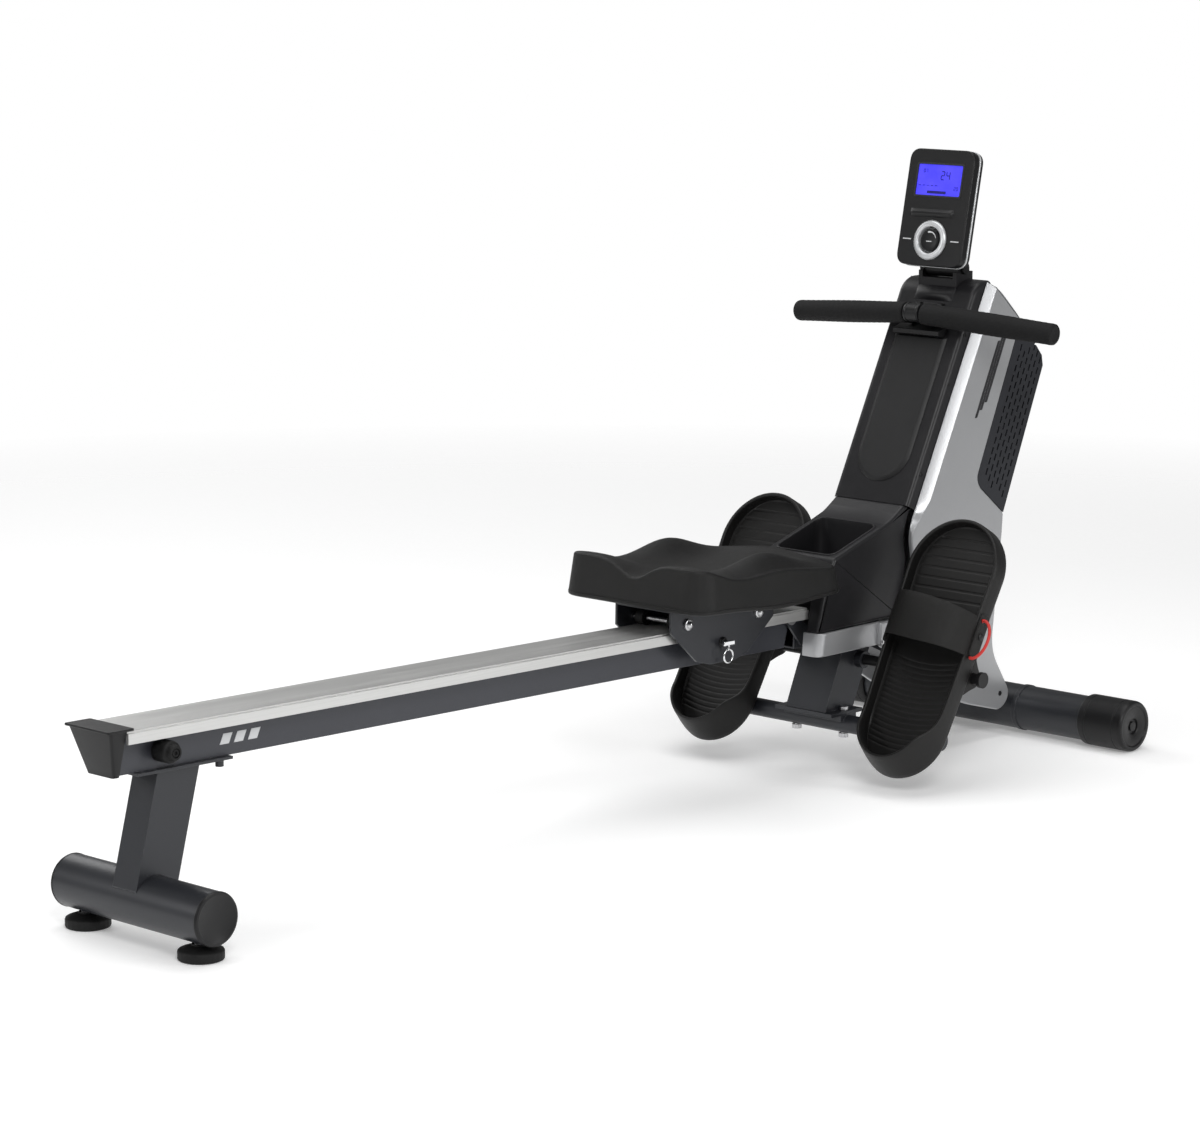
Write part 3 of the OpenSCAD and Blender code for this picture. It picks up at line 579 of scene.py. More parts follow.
def lathe(profile, turns=72):
    # the profile of (radius, height) pairs carried round the Z axis
    around = np.arange(turns) * 2 * pi / turns
    radius, height = np.asarray(profile, float).T
    return np.stack([np.outer(radius, np.cos(around)), np.outer(radius, np.sin(around)),
                     np.repeat(height[:, None], turns, axis=1)], axis=-1)


def alongY(points):
    # a lathe's axis or a plate's thickness along Y, and the outline in X and Z
    return points[..., [0, 2, 1]]


def alongX(points):
    # a lathe's axis or a plate's thickness along X, and the outline in Y and Z
    return points[..., [2, 0, 1]]


def heading(path):
    # unit steps along a path, from the difference between each point's neighbours
    step = np.gradient(path, axis=0)
    return step / np.linalg.norm(step, axis=1)[:, None]


def evenly(loop, count):
    # the closed outline with its points at equal lengths along it
    run = np.concatenate([[0], np.cumsum(np.linalg.norm(np.diff(loop, axis=0), axis=1))])
    spots = np.linspace(0, run[-1], count, endpoint=False)
    return np.column_stack([np.interp(spots, run, loop[:, 0]), np.interp(spots, run, loop[:, 1])])


def flip(side):
    # the factors that mirror points across the middle plane for side -1
    return np.array([1, side, 1])


def bead(loop, height, wide, tall, sides=10):
    # an oval section carried round a closed loop: out from it by wide cos a, and up by tall sin a
    a = np.arange(sides) * 2 * pi / sides
    spot = loop[:, None] + inward(loop)[:, None] * (wide * np.cos(a))[None, :, None]
    rise = np.broadcast_to(np.reshape(height, (-1, 1)), (len(loop), 1)) + (tall * np.sin(a))[None]
    return np.concatenate([spot, rise[..., None]], axis=-1)


def bars(boxes):
    # boxes of (centre, half size) as eight corners each
    boxes = np.asarray(boxes, float)
    corner = np.array([[x, y, z] for x in (-1, 1) for y in (-1, 1) for z in (-1, 1)])
    points = boxes[:, None, :3] + corner[None] * boxes[:, None, 3:]
    quads = np.array([[0, 1, 3, 2], [4, 6, 7, 5], [0, 4, 5, 1], [2, 3, 7, 6], [0, 2, 6, 4], [1, 5, 7, 3]])
    faces = (quads[None] + 8 * np.arange(len(boxes))[:, None, None]).reshape(-1, 4).tolist()
    return points, faces


def carve(target, *cutters):
    # each closed cutter is taken out of the target and thrown away
    for cutter in cutters:
        cut = target.modifiers.new("cut", "BOOLEAN")
        cut.operation = "DIFFERENCE"
        cut.solver = "EXACT"
        cut.object = cutter
    bake(target)
    for cutter in cutters:
        bpy.data.objects.remove(cutter)
    smooth(target.data, broad=0.0012)


def bake(target):
    # the modifiers' result becomes the mesh itself
    graph = bpy.context.evaluated_depsgraph_get()
    result = bpy.data.meshes.new_from_object(target.evaluated_get(graph))
    old = target.data
    target.modifiers.clear()
    target.data = result
    bpy.data.meshes.remove(old)


# ---- seat ----

seatPad = {"middle": 0.024, "half": (0.180, 0.152), "corner": 0.046, "floor": 0.043, "rim": 0.007,
    "taper": 0.008}


def seatHeight(x, y):
    # rear lobes with a tail-bone notch between them, a wing on each side, and a raised front for the thighs
    y = np.abs(y)
    rear = 0.026 * np.exp(-((x + 0.165) / 0.062) ** 2) * (1 - np.exp(-(y / 0.040) ** 2))
    wing = 0.030 * np.exp(-((x - 0.018) / 0.082) ** 2) * np.exp(-((y - 0.100) / 0.031) ** 2)
    front = 0.012 * np.exp(-((x - 0.150) / 0.060) ** 2) * np.exp(-(y / 0.085) ** 2)
    corner = 0.004 / (1 + np.exp(-(x - 0.115) / 0.022)) / (1 + np.exp(-(y - 0.085) / 0.016))
    fall = 0.005 / (1 + np.exp(-(y - 0.138) / 0.007))
    return 0.087 + rear + wing + front - corner - fall


def buildSeat():
    s = seatPad
    outline = softCorners([(-s["half"][0], -s["half"][1]), (s["half"][0], -s["half"][1] * 0.97),
                           (s["half"][0], s["half"][1] * 0.97), (-s["half"][0], s["half"][1])], s["corner"],
                           28)
    waist = 1 - 0.035 * np.exp(-((outline[:, 0] + 0.03) / 0.07) ** 2) * (np.abs(outline[:, 1]) > 0.1)
    outline = outline * np.stack([np.ones_like(waist), waist], axis=1)
    # evenly spaced along its length, so that the rings stay smooth
    outline = evenly(np.concatenate([outline, outline[:1]]), 220)
    normal = inward(outline)
    inner = outline + normal * (s["rim"] + s["taper"])
    scale = np.concatenate([np.linspace(0.02, 0.9, 34), np.linspace(0.92, 1, 5)])
    rings = []
    for factor in scale:
        spot = inner * factor
        rings.append(np.column_stack([spot, seatHeight(spot[:, 0], spot[:, 1])]))
    crest = seatHeight(inner[:, 0], inner[:, 1])
    for a in np.linspace(0.25, pi / 2, 6):
        spot = inner - normal * s["rim"] * sin(a)
        rings.append(np.column_stack([spot, crest - s["rim"] * 0.8 * (1 - cos(a))]))
    hem = s["floor"] - 0.0085 * np.exp(-((outline[:, 0] - 0.02) / 0.09) ** 2) * (np.abs(outline[:, 1]) > 0.08)
    hem = np.convolve(np.concatenate([hem[-8:], hem, hem[:8]]), np.ones(9) / 9, "same")[8:-8]
    shoulder = rings[-1][:, 2]
    for t in np.linspace(0.12, 1, 9):
        spot = inner - normal * (s["rim"] + s["taper"] * t)
        rings.append(np.column_stack([spot, shoulder * (1 - t) + (hem + 0.003) * t]))
    for draw, rise in ((0.0008, 0.0012), (0.003, 0.0), (0.009, 0.0), (0.012, 0.002), (0.0135, 0.008)):
        rings.append(np.column_stack([outline + normal * draw, hem + rise]))
    inside = outline + normal * 0.0145
    rings.append(np.column_stack([inside, np.full(len(inside), s["floor"] + 0.0245)]))
    for factor in (0.8, 0.4, 0.02):
        rings.append(np.column_stack([inside * factor, np.full(len(inside), s["floor"] + 0.0247)]))
    points = onSeat(np.array(rings) + np.array([s["middle"], 0, 0]))
    pad = addRings("seatCushion", points, "seat", "seat", ("seat_pad",), sharp=60)
    # moulded parting line round the skirt
    line = inner - normal * (s["rim"] + s["taper"] * 0.97)
    ring = bead(line, hem + 0.0062, 0.0006, 0.0007, 6) + np.array([s["middle"], 0, 0])
    addRings("seatPartingLine", onSeat(ring), "seat", "seat", ring=True)
    print("seat made")


# ---- foot plates ----

footPlate = {"length": 0.440, "heel": 0.080, "toe": 0.088, "wall": 0.020, "cup": 0.046, "thick": 0.0065,
    "back": 0.012}


def soleOutline(count=260):
    # heel circle, toe circle and the straight sides between them, evenly spaced from the heel's middle
    f = footPlate
    arc = np.linspace(-pi / 2, 0, 40)
    heel = np.column_stack([f["heel"] * np.cos(arc), f["heel"] + f["heel"] * np.sin(arc)])
    arc = np.linspace(0, pi / 2, 40)
    top = f["length"] - f["toe"]
    toe = np.column_stack([f["toe"] * np.cos(arc), top + f["toe"] * np.sin(arc)])
    half = np.concatenate([heel, toe])
    loop = np.concatenate([half, (half * [-1, 1])[::-1][1:]])
    return evenly(loop, count)


def buildFootPlate(side, hand):
    f = footPlate
    outline = soleOutline()
    normal = inward(outline)
    v = outline[:, 1]
    # the wall grows into a cup round the heel
    wall = f["wall"] + (f["cup"] - f["wall"]) / (1 + np.exp((v - 0.072) / 0.011))
    slope = 0.016 * (wall - f["wall"]) / (f["cup"] - f["wall"])
    thick = f["thick"]
    steps = [(0.012, f["back"], 0), (0.004, f["back"], 0), (0.0012, f["back"] - 0.001, 0),
        (0, f["back"] - 0.004, 0),
             (0, 0, 0.1), (0, -0.3, 0.35), (0, -0.85, 0.9), (0.0007, -0.96, 1), (0.0022, -1.0, 1),
             (thick - 0.002, -1.0, 1),
             (thick - 0.0006, -0.96, 1), (thick, -0.85, 0.95), (thick + 0.001, -0.3, 0.5),
             (thick + 0.0015, -0.12, 0.2)]
    rings = []
    for draw, depth, share in steps:
        spot = outline + normal * (draw + slope * share)[:, None]
        x = np.full(len(v), depth) if depth > 0.0001 else wall * depth
        rings.append(np.column_stack([x, spot]))
    spot = outline + normal * (thick + 0.004)
    rings.append(np.column_stack([np.full(len(v), -0.0015), spot]))
    rings.append(np.column_stack([np.full(len(v), -0.0012), outline + normal * (thick + 0.008)]))
    plateName = "footPlate" + hand
    body = "foot_plate_" + hand.lower()
    addRings(plateName, onFootPlate(np.array(rings), side), body, "sole",
        ("pedal_" + hand.lower(),), sharp=50)
    # tread: grooves across the plate, wider apart under the toes and bowed under the heel
    rows, columns = 420, 36
    length = np.linspace(0.012, f["length"] - 0.012, rows)[:, None]
    heelPart = np.sqrt(np.maximum(f["heel"] ** 2 - np.minimum(length - f["heel"], 0) ** 2, 0))
    toePart = np.sqrt(np.maximum(f["toe"] ** 2 - np.maximum(length - f["length"] + f["toe"], 0) ** 2, 0))
    share = np.clip((length - f["heel"]) / (f["length"] - f["toe"] - f["heel"]), 0, 1)
    half = np.where(length < f["heel"], heelPart,
        np.where(share < 1, f["heel"] + (f["toe"] - f["heel"]) * share, toePart))
    half = np.maximum(half - thick - 0.006, 0.001)
    across = np.linspace(-1, 1, columns)[None]
    y = half * across
    bow = length + 0.010 * (1 - across ** 2) * (length < 0.215)
    toeGroove = np.exp(-(((bow - 0.305) / 0.0175 + 0.5) % 1 - 0.5) ** 2 / 0.0075)
    toeGroove = toeGroove * (bow > 0.296) * (bow < 0.412)
    heelGroove = np.exp(-((bow / 0.0092 + 0.5) % 1 - 0.5) ** 2 / 0.02) * (bow > 0.050) * (bow < 0.205)
    field = np.clip((0.985 - np.abs(across)) * half / 0.004, 0, 1)
    grooves = (0.0019 * toeGroove + 0.0013 * heelGroove) * field
    x = -0.0022 + grooves + 0.0006 * np.clip(np.abs(across) - 0.93, 0, 1) * 14
    top = np.stack([x, y, np.broadcast_to(length, y.shape)], axis=-1)
    under = np.stack([np.full_like(y, 0.004), y, np.broadcast_to(length, y.shape)], axis=-1)
    rings = np.concatenate([top, under[:, ::-1]], axis=1)
    addRings("footTread" + hand, onFootPlate(rings, side), body, "sole", sharp=60)
    # lugs on the back that hold the shaft, and the pad that meets the rest bar
    for i, y0 in enumerate((-0.070, 0.070)):
        cheek = softCorners([(0.0105, 0.150), (0.030, 0.170), (0.046, 0.182), (0.046, 0.200), (0.030, 0.212),
            (0.0105, 0.232)], 0.012)
        rings = plate(cheek, y0 - 0.008, y0 + 0.008, 0.002)
        lug = addRings("shaftLug" + hand + str(i + 1), onFootPlate(alongY(rings), side), body,
            "sole")
        bore = alongY(lathe([(0.0091, -0.1), (0.0091, 0.1)], 48)) + np.array([0.0288, 0, 0.1904])
        carve(lug, addRings("bore", onFootPlate(bore, side), None, "sole"))
    pad = plate(roundBox(0.060, 0.028, 0.006), 0.0115, 0.0202, 0.002) + np.array([0, 0.080, 0])
    addRings("restPad" + hand, onFootPlate(alongX(pad), side), body, "rubber")
    for i, v0 in enumerate((0.105, 0.260, 0.330)):
        rib = plate(roundBox(0.120, 0.006, 0.002), 0.0112, 0.0175, 0.0015) + np.array([0, v0, 0])
        addRings("backRib" + hand + str(i + 1), onFootPlate(alongX(rib), side), body, "sole")
    rivet = alongX(lathe([(0.0001, -0.0038), (0.002, -0.0036), (0.0034, -0.0026), (0.0038, -0.0014),
        (0.0038, 0.001), (0.0001, 0.001)], 32))
    addRings("footRivet" + hand, onFootPlate(rivet + np.array([-0.018, side * -0.0835, 0.212]), side), body,
        "zinc")


footStrap = {"half": 0.0879, "rise": 0.0595, "thick": 0.0028, "wide": 0.070, "middle": 0.255}


def buildFootStrap(side, hand):
    # an arch over the foot: x falls as a flattened dome across the plate, and its lower edge runs on a slant
    s = footStrap
    body = "foot_plate_" + hand.lower()
    a = np.linspace(-1, 1, 90)
    y = s["half"] * np.sin(a * pi / 2 * 0.98) / sin(pi / 2 * 0.98)
    dome = np.maximum(1 - np.abs(y / s["half"]) ** 3.1, 0) ** 0.62
    x = -s["rise"] * dome
    x = np.where(np.abs(a) > 0.93, x + (np.abs(a) - 0.93) / 0.07 * 0.006, x)
    path = np.column_stack([x, y])
    step = np.gradient(path, axis=0)
    out = np.column_stack([step[:, 1], -step[:, 0]]) / np.linalg.norm(step, axis=1)[:, None]
    out = np.where((out[:, :1] > 0), -out, out)
    tilt = -side * y / s["half"]
    low = s["middle"] - s["wide"] / 2 + 0.006 * tilt - 0.004 * np.cos(y / s["half"] * pi / 2)
    high = s["middle"] + s["wide"] / 2 + 0.009 * tilt + 0.003 * np.cos(y / s["half"] * pi / 2)
    across = np.linspace(0, 1, 13)
    # a thicker hem along both edges
    thickness = s["thick"] * (1 + 0.35 * (np.exp(-(across / 0.05) ** 2)
        + np.exp(-((across - 1) / 0.05) ** 2)))
    edge = np.sqrt(np.clip(1 - np.clip(np.abs(across - 0.5) * 2 - 0.93, 0, 1) ** 2 / 0.07 ** 2, 0.05, 1))
    lift = thickness * edge * 0.5
    v = low[:, None] + (high - low)[:, None] * across[None]
    front, back = [np.stack([path[:, None, 0] + out[:, None, 0] * way * lift[None],
                             path[:, None, 1] + out[:, None, 1] * way * lift[None], v],
                             axis=-1) for way in (1, -1)]
    rings = np.concatenate([front, back[:, ::-1]], axis=1)
    addRings("footStrap" + hand, onFootPlate(rings, side), body, "strap",
        ("pedal_strap_" + hand.lower(),), sharp=55)
    # tabs and studs where the strap is pinned to the plate's two sides
    for i, way in enumerate((-1, 1)):
        tab = plate(roundBox(0.024, 0.074, 0.009) + np.array([-0.006, 0.252]), way * 0.0876 - 0.0016,
            way * 0.0876 + 0.0016, 0.001)
        addRings("strapTab" + hand + str(i + 1), onFootPlate(alongY(tab), side), body, "strap")
        stud = alongY(lathe([(0.0001, 0), (0.0045, 0.0002), (0.006, 0.0012), (0.0062, 0.0028),
            (0.0001, 0.003)], 36)) * flip(-way)
        addRings("strapStud" + hand + str(i + 1), onFootPlate(stud + np.array([-0.003, way * 0.0915, 0.252]),
            side), body, "trim")
    # finger loop: a cord bent to a half circle with its ends turned into the tab
    t = np.linspace(-0.62 * pi, 0.62 * pi, 60)
    loopY = side * (0.0905 + 0.0245 * np.cos(t) * np.where(np.cos(t) > 0, 1, 0.35))
    loopV = 0.245 + 0.0325 * np.sin(t)
    path = np.column_stack([np.full_like(t, -0.010) - 0.006 * np.cos(t * 0.8), loopY, loopV])
    addCord("fingerLoop" + hand, onFootPlate(path, side), 0.0026, body, "red")


def addCord(name, path, radius, body, finish, sides=14):
    # a round section carried along the path, square to its direction
    step = heading(path)
    across = np.cross(step, np.array([0.36, 0.11, 0.93]))
    across /= np.linalg.norm(across, axis=1)[:, None]
    up = np.cross(step, across)
    a = np.arange(sides) * 2 * pi / sides
    rings = path[:, None] + radius * (across[:, None] * np.cos(a)[None, :, None] + up[:,
        None] * np.sin(a)[None, :, None])
    return addRings(name, rings, body, finish)


# ---- tower ----

tower = {"faceHalf": 0.079, "shellIn": 0.0796, "shellOut": 0.088, "stripe": 0.020}


def buildFaceCover():
    # a shallow channel section carried up the sloping face and over the top
    path = softLine([(faceX(0.431), 0.431), (faceX(0.774), 0.774), (faceX(0.774) + 0.020, 0.786),
        (-0.100, 0.786)],
                    [0.02, 0.018, 0.016, 0.01], 9)
    step = heading(path)
    into = np.column_stack([step[:, 1], -step[:, 0]])
    into = np.where((into @ np.array([0.86, -0.5]))[:, None] < 0, -into, into)
    half, deep, wall = tower["faceHalf"], 0.0255, 0.003
    section = softCorners([(-half, deep), (-half, 0), (half, 0), (half, deep), (half - wall, deep),
        (half - wall, wall * 2),
                           (-half + wall, wall * 2), (-half + wall, deep)],
                           [0.0008, 0.010, 0.010, 0.0008, 0.0008, 0.008, 0.008, 0.0008], 7)
    rings = np.stack([path[:, None, 0] + into[:, None, 0] * section[None, :, 1],
                      np.broadcast_to(section[None, :, 0], (len(path), len(section))),
                      path[:, None, 1] + into[:, None, 1] * section[None, :, 1]], axis=-1)
    cover = addRings("faceCover", onTower(rings), "frame", "cover", ("face_cover",))
    mouth = plate(roundBox(0.034, 0.030, 0.006), -0.25, -0.13, 0.0005) + np.array([0, 0.731, 0])
    carve(cover, addRings("mouth", onTower(alongX(mouth)), None, "cover"))
    # raised panel with a round lower end and a sloping rim
    low, high, wide = 0.462, 0.694, 0.055
    arc = np.linspace(pi, 2 * pi, 40)
    run = (high - low - wide * cos(lean["tower"])) / cos(lean["tower"])
    ends = np.array([(wide, run), (-wide, run)])
    curve = np.column_stack([wide * np.cos(arc), wide * np.sin(arc)])
    outline = np.concatenate([curve, ends])
    rings = []
    for draw, rise in ((0, -0.001), (0, 0.0006), (0.0006, 0.0012), (0.0064, 0.0040), (0.0074, 0.0044),
            (0.009, 0.0044)):
        spot = outline + inward(outline) * draw
        rings.append(np.column_stack([np.full(len(spot), -rise), spot]))
    start = low + wide * cos(lean["tower"])
    panel = turned(np.array(rings), lean["tower"], (faceX(start), 0, start))
    addRings("facePanel", onTower(panel), "frame", "panel", ("face_panel",), sharp=25)
    # hump under the console and the ledge with the strap's mouth
    t = np.linspace(0, 1, 26)[:, None]
    y = np.linspace(-1, 1, 30)[None]
    z = 0.752 + 0.024 * t + 0 * y
    bulge = 0.0065 * np.sin(pi * t) * np.clip(1 - y ** 2, 0, 1) ** 0.7
    top = np.stack([faceX(z) - 0.0002 - bulge, 0.040 * y + 0 * z, z], axis=-1)
    back = np.stack([faceX(z) + 0.002, 0.040 * y + 0 * z, z], axis=-1)
    addRings("faceHump", onTower(np.concatenate([top, back[:, ::-1]], axis=1)), "frame",
        "cover", sharp=60)
    rim = alongX(bead(roundBox(0.037, 0.033, 0.007), 0.0, 0.0026, 0.0018))
    addRings("mouthRim", onTower(turned(rim, lean["tower"], (faceX(0.731), 0, 0.731))), "frame",
        "trim", ring=True)


def buildSideShell(side, hand):
    # the outline leaves out the grille; a wide chamfer runs down the front edge, small round edges elsewhere
    front = faceX(0.782) + 0.027, faceX(0.43) + 0.025
    corners = [(front[0], 0.783), (-0.113, 0.785), (-0.082, 0.768), (-0.033, 0.724), (-0.0165, 0.7066),
        (-0.0294, 0.7066),
               (-0.1396, 0.459), (-0.1334, 0.4428), (-0.0655, 0.3905), (-0.068, 0.354), (-0.092, 0.158),
               (-0.041, 0.082),
               (-0.042, 0.066), (-0.052, 0.054), (-0.068, 0.048), (-0.172, 0.076), (-0.393, 0.208),
               (-0.393, 0.246),
               (-0.330, 0.246), (-0.307, 0.338), (-0.315, 0.375), (-0.308, 0.402), (front[1], 0.430)]
    radius = [0.004, 0.02, 0.02, 0.012, 0.003, 0.010, 0.008, 0.010, 0.004, 0.03, 0.03, 0.012, 0.008, 0.008,
        0.012, 0.03,
              0.004, 0.003, 0.012, 0.02, 0.02, 0.02, 0.02]
    outline = softCorners(corners, radius, 7)
    # points along the straight front edge, so that the chamfer can fade in and out
    ahead = np.roll(outline, -1, 0)
    gap = np.linalg.norm(ahead - outline, axis=1)
    parts = [outline[i] + (ahead[i] - outline[i]) * np.linspace(0, 1, max(1, int(gap[i] / 0.012)),
        endpoint=False)[:, None]
             for i in range(len(outline))]
    outline = np.concatenate(parts)
    normal = inward(outline)
    y0, y1 = tower["shellIn"], tower["shellOut"]
    square = np.array([cos(lean["tower"]), -sin(lean["tower"])])
    wide = tower["stripe"] * np.clip((outline[:, 1] - 0.385) / 0.06, 0, 1)

    def behind(spot):
        return (spot[:, 0] - faceX(spot[:, 1]) - 0.027) * square[0]

    # the chamfer moves every point nearer the front edge than its width back to that width
    drop = 0.0020 + 0.0052 * (1 - behind(outline) / np.maximum(wide, 0.0001)).clip(0, 1) * (wide > 0)
    rings = [np.column_stack([outline + normal * 0.001, np.full(len(outline), y0)]),
             np.column_stack([outline, np.full(len(outline), y0 + 0.0006)]),
             np.column_stack([outline, y1 - drop])]
    for share in (0.06, 0.94, 1.0):
        spot = outline + normal * 0.0018 * share
        lack = np.maximum(wide * share - behind(spot), 0) * (wide > 0)
        rings.append(np.column_stack([spot + square * lack[:, None], y1 - drop * (1 - share)]))
    rings = alongY(np.array(rings)) * flip(side)
    addRings("sideShell" + hand, onTower(rings), "frame", "silver",
        ("side_shell_" + hand.lower(),), sharp=24)
    # band that runs back along the nose and turns round its corner
    path = softLine([(-0.5405, 0.046), (-0.5405, 0.0775), (-0.384, 0.0775)], 0.016, 12)
    step = heading(path)
    out = np.column_stack([-step[:, 1], step[:, 0]])
    section = softCorners([(-0.0035, 0.2080), (0.0030, 0.2080), (0.0035, 0.2460), (-0.0035, 0.2460)], 0.0018,
        5)
    z = section[None, :, 1] + 0 * path[:, :1]
    x = path[:, None, 0] + out[:, None, 0] * section[None, :,
        0] + (z - 0.208) * 0.105 * (1 - np.clip((path[:, None, 0] + 0.5405) / 0.03, 0, 1))
    y = path[:, None, 1] + out[:, None, 1] * section[None, :, 0]
    band = np.stack([x, y * side, z], axis=-1)
    addRings("noseBand" + hand, onTower(band), "frame", "silver", sharp=30)
    # plain slanting strokes on the broad side, and two screws
    low = np.array([-0.150, 0.560])
    for i in range(3):
        stroke = np.array([(0, 0), (0.0065, 0), (0.0665, 0.125), (0.060, 0.125)]) + low + np.array([0.013 * i,
            0.012 * i])
        rings = alongY(plate(softCorners(stroke, 0.001, 3), y1 - 0.0002, y1 + 0.00035, 0.0001, 2))
        addRings("sideStroke" + hand + str(i + 1), onTower(rings * flip(side)), "frame",
            "darkLabel")
    for i, (x, z, y) in enumerate(((-0.066, 0.077, 0.088), (faceX(0.478) + 0.013, 0.478, 0.079),
            (faceX(0.700) + 0.013, 0.700, 0.079))):
        head = alongY(lathe([(0.0001, 0.0004), (0.0022, 0.0004), (0.0024, 0.0012), (0.0038, 0.0012),
            (0.0044, 0.0006), (0.0045, -0.002), (0.0001, -0.002)], 32))
        addRings("shellScrew" + hand + str(i + 1), onTower((head + np.array([x, y, z])) * flip(side)),
            "frame", "trim")


def buildNose():
    outline = softCorners([(-0.5375, 0.2465), (-0.528, 0.293), (-0.499, 0.360), (-0.495, 0.3645),
        (-0.353, 0.408), (faceX(0.430), 0.4305),
                           (faceX(0.430) + 0.023, 0.4305), (-0.309, 0.402), (-0.316, 0.375), (-0.308, 0.338),
                           (-0.331, 0.2465)],
                          [0.003, 0.02, 0.008, 0.006, 0.05, 0.004, 0.004, 0.01, 0.01, 0.01, 0.003], 6)
    rings = plate(outline, -0.0738, 0.0738, 0.005, 5)
    nose = addRings("noseCover", onTower(alongY(rings)), "frame", "cover", ("nose_cover",))
    basin = plate(roundBox(0.114, 0.120, 0.016, 8), 0.321, 0.46, 0.009, 5,
        topEdge=0.0005) + np.array([-0.429, 0, 0])
    door = plate(roundBox(0.060, 0.101, 0.002, 3), 0.235, 0.306, 0.001, 3) + np.array([-0.528, 0, 0])
    carve(nose, addRings("basin", onTower(basin), None, "cover"),
        addRings("door", onTower(door), None, "cover"))
    # rolled rim round the tray's mouth, which follows the sloping top
    loop = roundBox(0.118, 0.124, 0.018, 8) + np.array([-0.429, 0])
    topZ = np.interp(loop[:, 0], [-0.495, -0.353], [0.3645, 0.408])
    rim = bead(loop, topZ + 0.0002, 0.0022, 0.0014)
    addRings("trayRim", onTower(rim), "frame", "cover", ring=True)
    print("nose and tray made")


# ---- console ----

console = {"width": 0.136, "height": 0.196, "thick": 0.028, "corner": 0.021}


